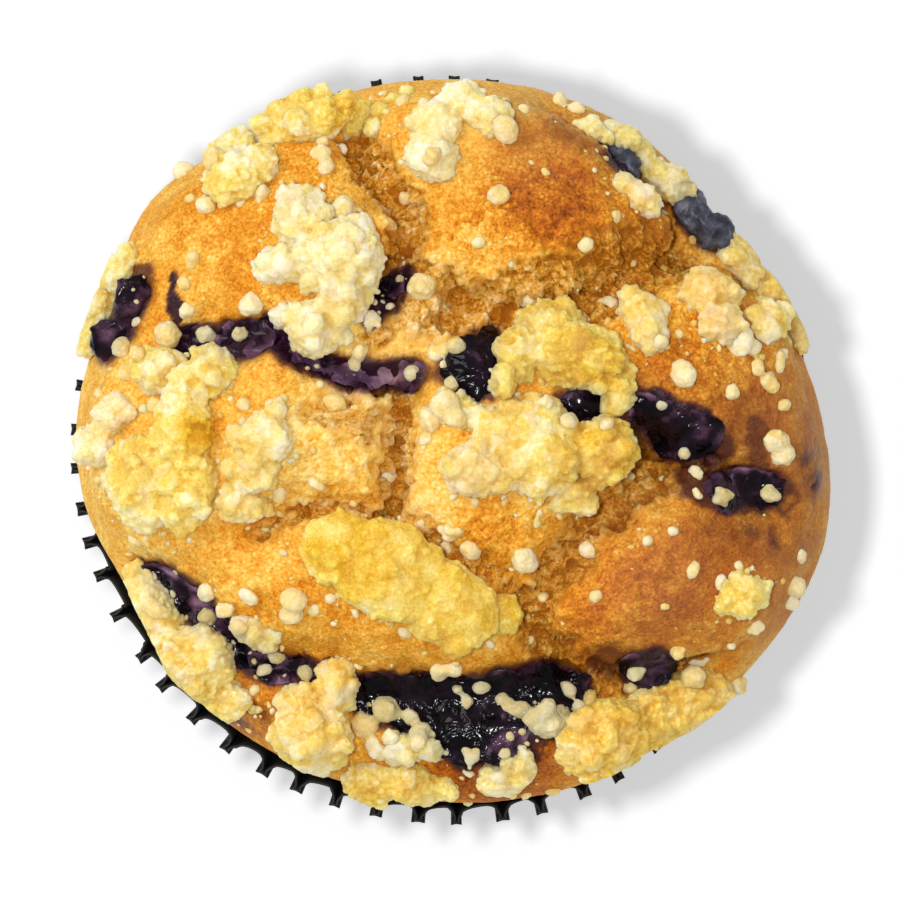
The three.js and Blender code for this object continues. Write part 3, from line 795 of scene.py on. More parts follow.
def crust_base(x, y):
    """The plain dome at plan places: its points, whose height is the edge's plus the dome's rise
    times (1 - out^flatness)^shoulder, the direction in which the crust rises there, and out, the
    share of the way to the edge."""
    turn = np.arctan2(y, x)
    out = np.minimum(1, np.hypot(x, y) / edge_radius(turn))
    height = DOME_EDGE_HEIGHT + DOME_RISE * (1 - out**DOME_FLATNESS) ** DOME_SHOULDER
    lean = smooth(LEAN_START, 1, out) * np.radians(EDGE_LEAN)
    rise = np.stack([np.sin(lean) * np.cos(turn), np.sin(lean) * np.sin(turn), np.cos(lean)], axis=1)
    return np.stack([x, y, height], axis=1), rise, out


def crust_level(x, y):
    """Height of the crust, without its fine relief, at plan places away from the dome's edge."""
    base, rise, out = crust_base(x, y)
    return base[:, 2] + relief(x, y)[0] * (1 - smooth(RELIEF_END, 1, out)) * rise[:, 2]


def disc_places(half):
    """A square grid carried onto a disc of radius one: square rings become round ones, and a
    place's share of a ring's side becomes its share of a quarter turn."""
    side = np.linspace(-1, 1, 2 * half + 1)
    right, up = (grid.ravel() for grid in np.meshgrid(side, side))
    wide = np.abs(right) > np.abs(up)
    ring = np.where(wide, right, up)
    other = np.where(wide, up, right)
    share = np.divide(other, ring, out=np.zeros_like(ring), where=ring != 0)
    turn = np.where(wide, share * np.pi / 4, np.pi / 2 - share * np.pi / 4)
    return ring * np.cos(turn), ring * np.sin(turn)


def border_loop(count):
    """Indices of a square grid's outer points, anticlockwise."""
    last = count - 1
    line = np.arange(last)
    return np.concatenate([
        line, line * count + last, last * count + last - line, (last - line) * count,
    ])


def evened(x, y):
    """Places of a square grid drawn together where the crust is steep, until its cells have one size
    on the slope: round by round each inner place goes to the mean of its four neighbours, weighted
    by how much longer the way to each is over the crust than in plan."""
    count = 2 * CAKE_HALF_GRID + 1
    for _ in range(EVENING_STAGES):
        base, rise, out = crust_base(x, y)
        inside = 1 - smooth(RELIEF_END, 1, out)
        crust = (base + rise * (relief(x, y)[0] * inside)[:, None]).reshape(count, count, 3)
        plan = np.stack([x, y], axis=1).reshape(count, count, 2)
        sides = []
        for axis in (0, 1):
            over = np.linalg.norm(np.diff(crust, axis=axis), axis=2)
            flat = np.linalg.norm(np.diff(plan, axis=axis), axis=2)
            sides.append(np.clip(over / np.maximum(flat, 1e-6), 1, STEEPEST))
        down, up = sides[0][:-1, 1:-1, None], sides[0][1:, 1:-1, None]
        left, right = sides[1][1:-1, :-1, None], sides[1][1:-1, 1:, None]
        for _ in range(EVENING_ROUNDS):
            inner = (
                down * plan[:-2, 1:-1] + up * plan[2:, 1:-1]
                + left * plan[1:-1, :-2] + right * plan[1:-1, 2:]
            ) / (down + up + left + right)
            plan = plan.copy()
            plan[1:-1, 1:-1] = inner
        x, y = plan.reshape(-1, 2).T
    return x, y


def fine_relief(place, x, y, torn, out):
    """How far the crust stands out by its fine layers. Whole crust has broad swells, puckers,
    bubbles, beads and pores and, where it is puckered most, craters and crevices. Torn crumb has
    tufts, granules and beads between its crevices. Both run out towards the edge."""
    swell = layered(place, 7.0, 21, 2)
    puckers = layered(place, 2.6, 22, 3)
    tufts = layered(place, 2.6, 25, 2)
    granules = layered(place, 0.7, 29, 2)
    crevices = smooth(0.84, 1.0, 1 - np.abs(layered(place, 2.6, 28, 3)))
    near, _ = grains(place, 1.1, 23)
    bubbles = np.clip(1 - near**2 * 1.6, 0, 1)
    near, size = grains(place, 0.75, 27)
    beads = np.clip(1 - near**2 * 1.8, 0, 1) * size
    near, chosen = grains(place, 2.3, 26)
    pores = (chosen > 0.6) * (1 - smooth(0.08, 0.24, near))
    near, chosen = grains(place, 3.4, 33)
    craters = (chosen > 0.45) * (1 - smooth(0.14, 0.34, near + 0.05 * puckers))
    lumpy = with_bells(np.full_like(x, PUCKER_BASE), x, y, PUCKERED)
    crust = 0.3 * swell + lumpy * puckers + 0.10 * bubbles - 0.22 * pores
    crust += (0.9 * lumpy) * beads - 1.4 * np.clip(lumpy - PUCKER_BASE, 0, 1) * craters
    crust -= 0.7 * np.clip(lumpy - PUCKER_BASE - 0.02, 0, 1) * crevices
    crumb = tufts + 0.2 * granules + 0.18 * bubbles + 0.55 * beads
    crumb -= 0.4 * pores + 0.6 * crevices + 0.3
    return (crust * (1 - torn) + crumb * torn) * (1 - 0.7 * smooth(0.93, 1.0, out))


def loops_below(edge, turn):
    """Loops of points under the dome's edge: a quarter ellipse round the lip, and then a cone from
    the neck down to the cake's floor."""
    edge_out = np.hypot(edge[:, 0], edge[:, 1])
    neck = NECK_RADIUS + bells(RIM_PRESSES, turn)
    lip_out = np.maximum(edge_radius(turn) - LIP_OVERHANG, neck + LIP_CLEARANCE)
    sections = []
    for share in LIP_STEPS:
        bend = share * np.pi / 2
        radius = lip_out + (edge_out - lip_out) * np.cos(bend)
        sections.append((radius, edge[:, 2] + (NECK_TOP + LIP_HEIGHT - edge[:, 2]) * np.sin(bend)))
    for share in CONE_STEPS:
        radius = CAKE_FOOT_RADIUS + (neck - CAKE_FOOT_RADIUS) * share
        level = CAKE_FLOOR + (NECK_TOP - CAKE_FLOOR) * share
        sections.append((radius, np.full(len(turn), level)))
    return [np.stack([out * np.cos(turn), out * np.sin(turn), level], 1) for out, level in sections]


def crust_tints(points, fruit_points):
    """How deeply the crust is baked, how far juice has stained it and how dull it is, partly as
    painted shade. A stain is the most that the patches, the fruit nearby and the films of jam give,
    with a blotchy border."""
    x, y = points[:, 0], points[:, 1]
    bake = with_bells(np.full(len(points), BAKE_BASE), x, y, BAKED)
    stain = np.zeros(len(points))
    for *patch, amount in STAINS:
        stain = np.maximum(stain, amount * blob(x, y, *patch))
    blotch = layered(points, 2.4, 31, 4)
    stain = np.clip(stain * (1 + 0.9 * blotch), 0, 1)
    soaked = smooth(0.10, 0.75, PlanMask(fruit_points, 0.9).at(points) + 0.14 * blotch)
    stain = np.maximum(stain, soaked * 0.85)
    for width, amount, path in FILMS:
        distance = distance_to(path, x + 0.9 * blotch, y - 0.9 * blotch) / width
        stain = np.maximum(stain, amount * (1 - smooth(0.55, 1.25, distance)))
    dusk = np.zeros(len(points))
    for *place, amount in DULL_AND_SHADED:
        dusk = np.maximum(dusk, amount * bell(x, y, *place))
    return bake, stain, dusk


def cake_piece(material, fruit_points):
    """The cake: the dome as a disc of crust points, pushed along their rise direction by the relief
    and along their normals by the fine layers, and below its edge the lip, the neck and the cone
    inside the case. Pits are where a point lies under the relaxed surface."""
    across, up = disc_places(CAKE_HALF_GRID)
    part = np.hypot(across, up)
    turn = np.arctan2(up, across)
    radius = (0.45 * np.sin(part * np.pi / 2) + 0.55 * part) * edge_radius(turn)
    x, y = evened(radius * np.cos(turn), radius * np.sin(turn))
    base, rise, out = crust_base(x, y)

    warp = [layered(base, 3.2, seed, 3) * 0.75 for seed in (11, 12)]
    height, torn = relief(x + warp[0], y + warp[1])
    inside = 1 - smooth(RELIEF_END, 1, out)
    torn = torn * inside + 0.2 * layered(base, 2.5, 13, 3) * (torn > 0.1)
    torn = smooth(0.32, 0.68, torn)

    place = base + rise * (height * inside)[:, None]
    count = 2 * CAKE_HALF_GRID + 1
    quads = grid_faces(count, count, closed=False)
    outward = point_normals(place, quads)
    outward = rise + (outward - rise) * inside[:, None]
    outward /= np.linalg.norm(outward, axis=1, keepdims=True)
    points = place + outward * fine_relief(place, x, y, torn, out)[:, None]
    # How deep each point lies in a pit, which the material darkens as painted shade.
    pit = np.sum((relaxed(points, quads, 8) - points) * outward, axis=1)

    border = border_loop(count)
    loops = loops_below(points[border], np.arctan2(y, x)[border])
    centre = len(points) + len(loops) * len(border)
    rows = np.concatenate([border, np.arange(len(points), centre)])
    skirt = rows[grid_faces(len(loops) + 1, len(border))][:, ::-1]
    underside = fan_faces(rows[-len(border):], centre, outwards=False)
    points = np.concatenate([points, *loops, [(0, 0, CAKE_FLOOR)]])
    quads = np.concatenate([quads, skirt])

    bake, stain, dusk = crust_tints(points, fruit_points)
    below = np.zeros(len(points) - len(torn))
    torn, pit = np.concatenate([torn, below]), np.concatenate([pit, below])
    add_piece("muffin_cake", mesh_from("cake", points, quads, underside), material, "cake", ["cake"],
              bake=bake, torn=torn, stain=stain, dusk=dusk, pit=pit)


# ------------------------------------------------------------------ streusel and fruit

STREUSEL_VOXEL = 0.16
FRUIT_VOXEL = 0.26
SUNK = 0.7                 # how far a topping is carried on down into the crust

# How far toppings may stand out past the dome's edge, and where further: direction, width (both
# degrees) and amount.
OVERHANG = -0.3
OVERHANGS = [
    (110, 12, 1.2), (135, 22, 1.0), (60, 40, 1.5), (18, 14, 1.2), (166, 14, 1.6), (258, 9, 2.2),
    (325, 16, 1.0),
]

# Butter, toast and damp of each clump: how yellow, how browned and how soaked with juice it is.
CLUMP_TINTS = {
    "streusel_slab": (0.22, 0.05, 0.0),
    "streusel_centre_high": (0.16, 0.0, 0.10),
    "streusel_centre_low": (0.10, 0.2, 0.05),
    "streusel_left_high": (-0.12, 0.0, 0.1),
    "streusel_left_outer": (0.12, 0.05, 0.0),
    "streusel_left_inner": (0.0, 0.15, 0.0),
    "streusel_left_rim": (-0.1, 0.15, 0.0),
    "streusel_top_heap": (0.06, 0.0, 0.0),
    "streusel_top_left": (0.05, 0.05, 0.0),
    "streusel_top_arc": (-0.12, 0.05, 0.0),
    "streusel_right_high": (0.0, 0.35, 0.0),
    "streusel_right_edge": (0.0, 0.2, 0.0),
    "streusel_right_ribbon": (0.1, 0.15, 0.15),
    "streusel_torn_edge": (0.0, 0.2, 0.0),
    "streusel_top_right": (-0.05, 0.3, 0.0),
    "streusel_upper_rim": (0.0, 0.1, 0.1),
    "streusel_rim_strip": (0.05, 0.05, 0.25),
    "streusel_lower_right": (0.12, 0.05, 0.0),
    "streusel_bottom_right": (0.2, 0.24, 0.0),
    "streusel_on_pool": (0.0, 0.0, 0.3),
    "streusel_bottom_rim": (0.0, 0.1, 0.1),
    "streusel_bottom_left": (0.05, 0.2, 0.0),
    "streusel_bottom_mid": (0.12, 0.1, 0.0),
    "streusel_pool_edge": (0.0, 0.05, 0.2),
    "streusel_lower_left": (0.1, 0.15, 0.05),
    "streusel_on_trail": (0.0, 0.1, 0.25),
    "streusel_left_band": (0.05, 0.0, 0.1),
}

# Butterier or drier places of the crumble, and two darker yellow places of painted shadow: centre x, y,
# reach and amount.
BUTTER_AND_SHADOW = [
    (14.6, 9.5, 4.5, 0.28),
    (16.5, -1, 4.5, 0.34),
    (2, -2.6, 3.5, -0.22),
    # painted shadow of a column in the left outer clump
    (-26.5, 1.5, 2.2, 0.55),
    # painted shadow among the lumps of the top heap
    (-12, 36.5, 2.2, 0.32),
    (-16, 24, 3, 0.12),
    (-33, -17, 3, -0.2),
    (-31, 8, 3, -0.12),
    (-11.9, -11.3, 4, 0.22),
    (5.5, -18.3, 3, 0.08),
    (27, 12, 5, -0.05),
]


def solid_arrays(node):
    """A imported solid's points in mm and its triangles, with doubled points merged."""
    points, triangles, _ = arrays_of(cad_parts[node].data)
    _, first, same = np.unique(np.round(points, 3), axis=0, return_index=True, return_inverse=True)
    triangles = same.ravel()[triangles]
    return points[first], triangles


def sunk(points, depth):
    """Points moved against the crust's rise direction, into the cake."""
    _, rise, _ = crust_base(points[:, 0], points[:, 1])
    return points - rise * depth


def scattered(points, triangles, count, rng):
    """Random places on the faces that look away from the crust, each face in proportion to its
    area, with the faces' outward directions."""
    corners = points[triangles]
    normals = np.cross(corners[:, 1] - corners[:, 0], corners[:, 2] - corners[:, 0])
    area = np.linalg.norm(normals, axis=1)
    normals = normals / np.maximum(area, 1e-9)[:, None]
    middle = corners.mean(axis=1)
    _, rise, _ = crust_base(middle[:, 0], middle[:, 1])
    weight = area * (np.sum(normals * rise, axis=1) > -0.25)
    chosen = rng.choice(len(triangles), count, p=weight / weight.sum())
    share = rng.dirichlet((1, 1, 1), count)
    return np.sum(corners[chosen] * share[:, :, None], axis=1), normals[chosen], weight.sum() / 2


def pressed_in(points):
    """Points that stand out past the paper's rim, brought back to a fifth of the way out."""
    turn = np.arctan2(points[:, 1], points[:, 0])
    out = np.hypot(points[:, 0], points[:, 1])
    limit = edge_radius(turn) + OVERHANG + bells(OVERHANGS, turn)
    kept = np.where(out > limit, limit + 0.2 * (out - limit), out) / np.maximum(out, 1e-9)
    return points * np.stack([kept, kept, np.ones_like(kept)], axis=1)


# Lumps that stand out of the clumps one by one: x, y, radius and, in radii, how far the middle of
# each lies above the clump's solid or, beside it, above a little more than the crust.
HEAP_DROP = 0.2            # taken off each of these heights
HEAPED = {
    "streusel_left_high": [
        (-16.4, 25.3, 1.1, 0.2), (-17.1, 23.4, 1.3, 0.1), (-15.4, 22.3, 1.3, 0.1),
        (-16.0, 20.6, 1.1, 0.2), (-10.5, 22.8, 1.3, 0.2), (-11.5, 20.8, 1.5, 0.1),
        (-9.4, 19.7, 1.4, 0.2), (-10.8, 18.2, 1.5, 0.2), (-12.4, 19.5, 1.1, 0.3),
        (-19.7, 19.7, 1.2, 0.2), (-17.8, 19.5, 1.3, 0.2), (-15.2, 17.4, 1.2, 0.0),
        (-13.3, 16.5, 1.2, 0.1), (-10.9, 16.3, 1.2, 0.2), (-17.4, 13.8, 1.1, 0.3),
        (-14.5, 12.9, 1.6, 0.3), (-14.5, 11.0, 1.4, 0.3), (-11.1, 14.1, 1.3, 0.3),
        (-11.2, 11.7, 1.3, 0.2), (-13.7, 15.2, 1.0, 0.3),
    ],
    "streusel_centre_high": [
        (8.0, 12.4, 1.3, 0.1), (9.6, 13.2, 1.4, 0.1), (11.0, 13.7, 1.2, 0.1),
        (11.7, 9.7, 1.8, -0.2), (13.9, 10.8, 1.8, -0.2), (16.0, 10.2, 1.7, -0.2),
        (17.3, 8.5, 1.3, 0.0), (14.9, 8.5, 1.5, -0.1), (5.9, 10.2, 1.3, 0.1),
        (6.9, 9.0, 1.2, 0.1), (5.6, 7.7, 1.4, 0.2), (6.0, 6.2, 1.2, 0.2), (15.7, 6.5, 1.0, 0.2),
        (17.9, 6.2, 1.3, 0.1), (18.4, 4.7, 1.0, 0.2),
    ],
    "streusel_centre_low": [
        (9.0, 4.9, 1.5, -0.1), (10.6, 3.7, 1.7, -0.1), (12.2, 2.1, 1.5, -0.1),
        (9.6, 2.1, 1.5, -0.3), (16.0, 1.2, 1.7, -0.3), (18.1, -0.4, 1.5, -0.1),
        (17.4, -3.1, 1.5, -0.1), (14.9, -2.0, 1.7, -0.3), (13.3, -4.7, 1.5, -0.1),
        (11.7, -6.0, 1.3, 0.1), (2.1, -1.1, 1.7, -0.1), (0.5, -2.6, 1.4, 0.1),
        (3.2, 0.6, 1.4, 0.0), (5.3, -0.6, 1.5, -0.2), (7.4, -2.3, 1.5, -0.2),
        (5.7, -3.8, 1.3, 0.0), (1.7, -4.4, 1.1, 0.2),
    ],
    "streusel_top_heap": [
        (-20.4, 35.0, 1.5, 0.2), (-19.0, 37.3, 1.5, 0.3), (-16.5, 38.1, 1.4, 0.3),
        (-13.9, 38.3, 1.4, 0.3), (-11.5, 37.5, 1.5, 0.3), (-9.6, 36.3, 1.6, 0.2),
        (-7.5, 36.5, 1.4, 0.2), (-5.9, 37.5, 1.3, 0.2), (-4.8, 38.4, 1.0, 0.2),
        (-16.5, 35.0, 1.6, 0.2), (-20.0, 32.8, 1.3, 0.2), (-13.7, 35.7, 1.5, 0.1),
        (-10.9, 34.6, 1.4, 0.2), (-8.3, 34.6, 1.2, 0.1),
    ],
    "streusel_right_ribbon": [
        (30.9, 20.8, 1.4, 0.2), (32.8, 18.2, 1.4, 0.2), (34.3, 15.6, 1.4, 0.2),
        (35.5, 13.0, 1.3, 0.2), (36.4, 11.0, 1.2, 0.2), (37.1, 9.2, 1.0, 0.1),
    ],
    "streusel_left_outer": [
        (-32.0, 7.9, 1.3, 0.1), (-30.5, 9.0, 1.3, 0.2), (-29.0, 7.7, 1.3, 0.1),
        (-26.5, 8.4, 1.3, 0.2), (-25.3, 7.3, 1.3, 0.2), (-26.6, 6.4, 1.2, 0.2),
        (-29.8, 4.9, 1.3, 0.1), (-29.8, 2.3, 1.4, 0.0), (-30.0, -0.6, 1.4, 0.0),
        (-30.0, -3.9, 1.5, -0.1), (-26.8, 0.6, 1.3, 0.1), (-27.3, -1.6, 1.1, 0.3),
        (-33.2, -3.6, 1.5, 0.0), (-34.3, -5.8, 1.4, 0.1), (-32.2, -7.3, 1.4, 0.1),
        (-27.9, -5.8, 1.3, 0.2), (-26.5, -7.0, 1.1, 0.2), (-34.3, 4.4, 1.3, 0.2),
        (-32.8, 3.9, 1.2, 0.2),
    ],
    "streusel_left_inner": [
        (-22.7, 0.9, 1.2, 0.2), (-18.5, 0.6, 1.5, 0.0), (-18.6, 3.6, 1.3, 0.2),
        (-21.1, -1.7, 1.4, 0.0), (-19.6, -3.6, 1.3, 0.2), (-23.4, -6.1, 1.4, 0.1),
        (-19.8, -6.6, 1.1, 0.2), (-23.6, -2.3, 1.0, 0.3),
    ],
    "streusel_bottom_left": [
        (-12.4, -25.3, 1.5, 0.1), (-11.4, -24.0, 1.1, 0.2), (-13.8, -24.4, 1.2, 0.2),
        (-12.8, -27.5, 1.3, 0.1), (-15.1, -29.6, 1.6, -0.1), (-17.3, -30.7, 1.5, 0.1),
        (-14.3, -31.8, 1.4, 0.1), (-12.4, -30.7, 1.2, 0.2), (-11.3, -32.3, 1.0, 0.3),
        (-16.2, -32.9, 1.3, 0.2),
    ],
    "streusel_bottom_right": [
        (15.2, -27.5, 1.3, 0.1), (14.1, -29.7, 1.6, 0.0), (16.8, -31.3, 1.7, -0.1),
        (15.2, -33.5, 1.5, 0.1), (18.4, -33.5, 1.3, 0.1), (19.3, -29.1, 1.3, 0.1),
        (21.7, -31.3, 1.1, 0.2), (21.1, -27.5, 1.0, 0.2), (24.1, -26.4, 1.3, 0.0),
        (26.0, -25.4, 1.2, 0.1), (27.6, -27.5, 1.3, 0.0), (29.3, -25.9, 1.1, 0.1),
        (24.9, -29.7, 1.3, 0.0), (28.4, -29.3, 1.1, 0.1),
    ],
}


def heaped_places(node, points, triangles):
    """Where a clump's single lumps lie: a plumb line from far above finds the top of the clump's
    solid or, beside it, the crust, and the middle goes above that by the lump's lift."""
    tree = BVHTree.FromPolygons(points.tolist(), triangles.tolist())
    centres, radii = [], []
    for x, y, radius, lift in HEAPED.get(node, ()):
        hit = tree.ray_cast(Vector((x, y, 200)), Vector((0, 0, -1)))[0]
        crust = crust_level(np.array([x]), np.array([y]))[0]
        top = hit.z if hit else crust + 0.3 * radius
        centres.append((x, y, top + (lift - HEAP_DROP) * radius))
        radii.append(radius)
    return centres, radii


# Nodules scattered over the clumps: one in so many square mm, least and greatest radius, and least
# and greatest depth of the middle in radii. First the large ones, then the small ones.
SLAB_NODULES = ((7.0, 0.8, 1.7, (0.5, 0.85)), (1.0, 0.26, 0.6, (0.2, 0.7)))
NODULES = ((4.4, 0.8, 1.5, (0.2, 0.7)), (0.55, 0.26, 0.6, (0.05, 0.6)))
HEAP_NODULES = ((10.0, 0.8, 1.5, (0.2, 0.7)), (0.55, 0.26, 0.6, (0.05, 0.6)))


def streusel_piece(number, node, material, jam_mask):
    """A clump: the solid and a copy sunk in the crust, with its single lumps and with nodules of
    dough scattered over it, all melted together, relaxed, and pushed along the normals by noise and
    by grains that stand out most on its sides. Creases are where it lies under the relaxed skin."""
    rng = np.random.default_rng(500 + number)
    points, triangles = solid_arrays(node)
    _, _, area = scattered(points, triangles, 1, rng)
    flat = node == "streusel_slab"
    nodules = SLAB_NODULES if flat else HEAP_NODULES if node in HEAPED else NODULES
    lumps = []
    if node in HEAPED:
        centres, radii = heaped_places(node, points, triangles)
        lumps.append(balls(centres, radii, rows=4, columns=7, squash=0.85, rough=0.3, rng=rng))
    for share, low, high, deep in nodules:
        count = int(area / share) + 4
        places, normals, _ = scattered(points, triangles, count, rng)
        radii = low + (high - low) * rng.random(count) ** 2
        centres = places - normals * (radii * rng.uniform(*deep, count))[:, None]
        lumps.append(balls(centres, radii, rows=4, columns=7, rough=0.3, rng=rng))
    skin, quads = fused(
        STREUSEL_VOXEL, (points, triangles), (sunk(points, SUNK), triangles), *lumps,
    )
    skin = relaxed(skin, quads, 1)
    normals = point_normals(skin, quads)
    _, rise, _ = crust_base(skin[:, 0], skin[:, 1])
    side = 1 - smooth(0.2, 0.9, np.sum(normals * rise, axis=1))
    _, own = grains(skin, 2.0, 41)
    small, height = grains(skin, 0.6, 42)
    push = 0.10 * layered(skin, 2.4, 43, 2) - 0.08
    push += (0.07 + 0.2 * side) * ((1 - small**2) * (0.4 + height) - 0.5)
    push *= 0.6 if flat else 1
    skin = pressed_in(skin + normals * push[:, None])
    # How deep each point lies in a crease, which the material paints a deeper yellow as shade.
    level = relaxed(skin, quads, 10)
    crease = np.sum((level - skin) * point_normals(skin, quads), axis=1)
    butter, toast, damp = CLUMP_TINTS[node]
    butter = with_bells(butter, skin[:, 0], skin[:, 1], BUTTER_AND_SHADOW)
    patchy = layered(skin, 4.0, 44, 2)
    over_jam = smooth(0.2, 0.8, jam_mask.at(skin))
    add_piece(
        node + "_crumble", mesh_from(node, skin, quads), material, "streusel", [node],
        crease=np.clip(0.42 + (0.65 if flat else 1.05) * crease, 0, 1.2),
        butter=butter + 0.14 * patchy - (0.12 if flat else 0.22) * smooth(0.55, 0.85, own),
        toast=np.clip(toast + 0.22 * patchy - 0.3 * crease, 0, 0.8),
        damp=np.clip(damp + 0.35 * over_jam + 0.1 * patchy, 0, 0.8),
    )
    return skin


# Burst fruit: how thin it lies, from 0 for thick and nearly black to 1 for a purple film, and the
# share of its height over the crust that it keeps.
PLAIN_FRUIT = (0.05, 0.4)
FRUIT_FORMS = {
    "jam_ribbon": (0.14, 0.12),
    "jam_high_left": (0.16, 0.16),
    "jam_trail": (0.16, 0.2),
    "jam_left": (0.28, 0.3),
    "berry_high": (0.3, 0.4),
    "berry_low_right": (0.25, 0.3),
    "berry_right": (0.15, 0.45),
    "jam_right": (0.2, 0.3),
    "berry_centre": (0.1, 0.5),
    "skin_right": (0.0, 0.8),
    "skin_high": (0.0, 0.8),
}


def fruit_skin(node):
    """A jam or berry skin: the solid and a copy sunk in the crust, melted together and relaxed
    until it is round, then wrinkled by noise whose creases are sharp and drawn sideways by slower
    noise. Last its height over the crust is cut to the share that it keeps, but for the dome's
    steep side."""
    points, triangles = solid_arrays(node)
    skin, quads = fused(FRUIT_VOXEL, (points, triangles), (sunk(points, SUNK), triangles))
    skin = relaxed(skin, quads, 8)
    normals = point_normals(skin, quads)
    wrinkle = 1 - np.abs(layered(skin, 2.2, 51, 2))
    push = 0.5 * (wrinkle - 0.75) + 0.4 * layered(skin, 3.0, 52, 2) - 0.1
    skin = skin + normals * push[:, None]
    skin[:, 0] += 0.9 * layered(skin, 3.4, 54, 3)
    skin[:, 1] += 0.9 * layered(skin, 3.4, 55, 3)
    over = np.clip(skin[:, 2] - crust_level(skin[:, 0], skin[:, 1]), 0, None)
    _, rise, _ = crust_base(skin[:, 0], skin[:, 1])
    _, kept = FRUIT_FORMS.get(node, PLAIN_FRUIT)
    skin[:, 2] -= over * (1 - kept) * smooth(0.5, 0.95, rise[:, 2])
    return skin, quads


def fruit_piece(node, skin, quads, jam, berry_skin):
    """Puts a skin in the scene. It is thinner in patches, at its edge and where a film is pale."""
    over = skin[:, 2] - crust_level(skin[:, 0], skin[:, 1])
    thin, _ = FRUIT_FORMS.get(node, PLAIN_FRUIT)
    thin = thin + 0.2 * layered(skin, 4.0, 53, 2) + 0.4 * (1 - smooth(0.1, 0.7, over))
    thin = with_bells(thin, skin[:, 0], skin[:, 1], PALE_FILMS)
    mesh = mesh_from(node, skin, quads)
    kind = "jam" if node.startswith("jam") else "berry"
    material = berry_skin if node.startswith("skin") else jam
    add_piece(node + "_fruit", mesh, material, kind, [node], thin=thin)


# ------------------------------------------------------------------ crumbs

# Loose crumbs big enough to tell apart: x, y and radius.
CRUMBS = [
    (-21.5, 15.2, 1.45), (-22.6, 12.0, 1.1), (-26.3, 12.0, 1.15), (-30.6, 12.0, 1.6),
    (-3.2, 17.1, 1.5), (-11.5, 25.4, 1.5), (-12.4, 4.7, 1.2), (7.9, -12.0, 1.6),
    (2.2, -10.8, 1.3), (15.0, -11.0, 1.1), (0.0, -9.0, 0.7), (30.2, 5.8, 1.0),
    (29.2, -5.5, 1.3), (34.7, -5.3, 1.2), (26.4, -5.2, 0.8), (21.1, -10.2, 0.7),
    (23.8, -9.1, 0.6), (20.1, -24.4, 1.1), (1.8, -27.7, 0.8), (0.8, -26.3, 0.7),
    (-1.1, -24.1, 1.2), (0.4, -24.0, 0.9), (-7.0, -28.6, 1.6), (-9.2, -30.2, 1.5),
    (-3.2, -30.8, 1.2), (-3.4, -32.0, 1.1), (13.6, -28.4, 0.8), (-21.6, -16.1, 1.1),
    (-16.7, -16.4, 1.4), (-17.0, -18.0, 1.2), (37.2, -15.2, 1.4), (37.0, -17.0, 1.1),
    (35.2, 0.6, 1.4), (35.9, -0.9, 1.3),
    (-14.0, 31.6, 1.2), (-13.4, 30.0, 1.1), (-13.9, 33.0, 0.9), (-29.2, 30.0, 1.2),
    (12.0, 37.8, 0.9), (13.8, 36.8, 0.9), (4.4, 40.6, 1.0), (-25.4, 31.0, 1.4),
    (-20.2, 27.2, 1.1), (-26.3, 25.9, 1.2), (-28.6, 17.6, 0.9), (-27.6, 20.4, 0.8),
    (5.1, 26.9, 1.3), (5.9, 34.1, 1.4), (-1.8, 31.0, 1.2), (24.9, 7.7, 1.5),
    (34.3, 6.8, 1.2), (33.0, 8.4, 0.9), (36.0, 4.4, 0.8), (22.5, 11.2, 0.9),
    (31.0, 11.5, 1.6), (32.6, 10.5, 1.1),
    (-4.1, 7.9, 0.9), (-2.1, 2.8, 1.5), (-0.5, 4.4, 1.5), (0.6, 3.0, 1.2), (-28.4, 14.6, 1.0),
    (-5.4, 17.9, 0.6), (-6.4, 15.0, 0.55), (-8.5, 13.3, 1.3), (-9.7, 10.0, 1.05),
    (-1.5, 10.0, 1.0), (-0.4, 10.2, 1.1), (0.7, 10.6, 1.0), (5.7, -27.4, 0.9), (6.7, -28.3, 1.0),
    (7.8, -28.7, 1.1), (9.0, -29.2, 1.1), (10.3, -28.5, 1.2), (11.0, -29.8, 1.1), (9.7, -30.3, 0.9),
    (-34.6, 8.0, 1.2), (-33.6, 9.8, 1.0), (-35.6, 10.8, 1.1), (-26.0, -15.8, 1.2),
    (-24.2, -17.4, 1.2), (-26.4, -18.6, 1.1), (-22.8, -19.6, 1.0), (10.2, 4.6, 0.9),
    (12.6, 2.6, 1.0), (16.6, 2.2, 0.9), (25.2, -0.8, 0.8), (19.8, -26.4, 0.7),
    (31.2, -26.2, 1.5), (26.4, -25.2, 1.4), (-6.4, -31.6, 1.1),
    (-8.0, -33.0, 1.2), (24.5, -22.0, 1.1), (33.0, -19.5, 1.0), (-18.8, -22.6, 1.0),
]
PEARL_VOXEL = 0.21
GRANULES = 7               # small crumbs that stick to each of these
# Strewn crumbs: how many places are tried, least radius, what a random share adds to it and the
# power of that share, how deep each is set in radii, and the pieces that it may lie on.
MIDDLING_CRUMBS = (400, 0.38, 0.7, 1.7, 0.15, ("muffin_cake", "jam", "berry"))
FINE_CRUMBS = (700, 0.15, 0.5, 3, 0.2, ("muffin_cake",))
STREWN_FAR = 0.06          # share of the places far from a clump that are kept
GRAVEL_REACH = 2.2         # how far crumbs lie from the clumps that they fell off


def surface_at(x, y):
    """Where a plumb line from above first meets the built pieces, its normal and the piece's name."""
    scene = bpy.context.scene
    graph = bpy.context.evaluated_depsgraph_get()
    start, down = Vector((x * MM, y * MM, 0.2)), (0, 0, -1)
    hit, place, normal, _, piece, _ = scene.ray_cast(graph, start, down)
    return np.array(place) / MM, np.array(normal), piece.name if hit else ""


def strewn_places(count, topping_mask, rng):
    """Random plan places on the cake, most of them near the clumps that the crumbs fell off."""
    turn = rng.uniform(0, 2 * np.pi, count * 3)
    out = 40 * np.sqrt(rng.random(count * 3))
    places = np.stack([out * np.cos(turn), out * np.sin(turn)], axis=1)
    near_clump = smooth(0.02, 0.5, topping_mask.at(places))
    kept = rng.random(len(places)) < STREWN_FAR + (1 - STREWN_FAR) * near_clump
    return places[kept][:count]


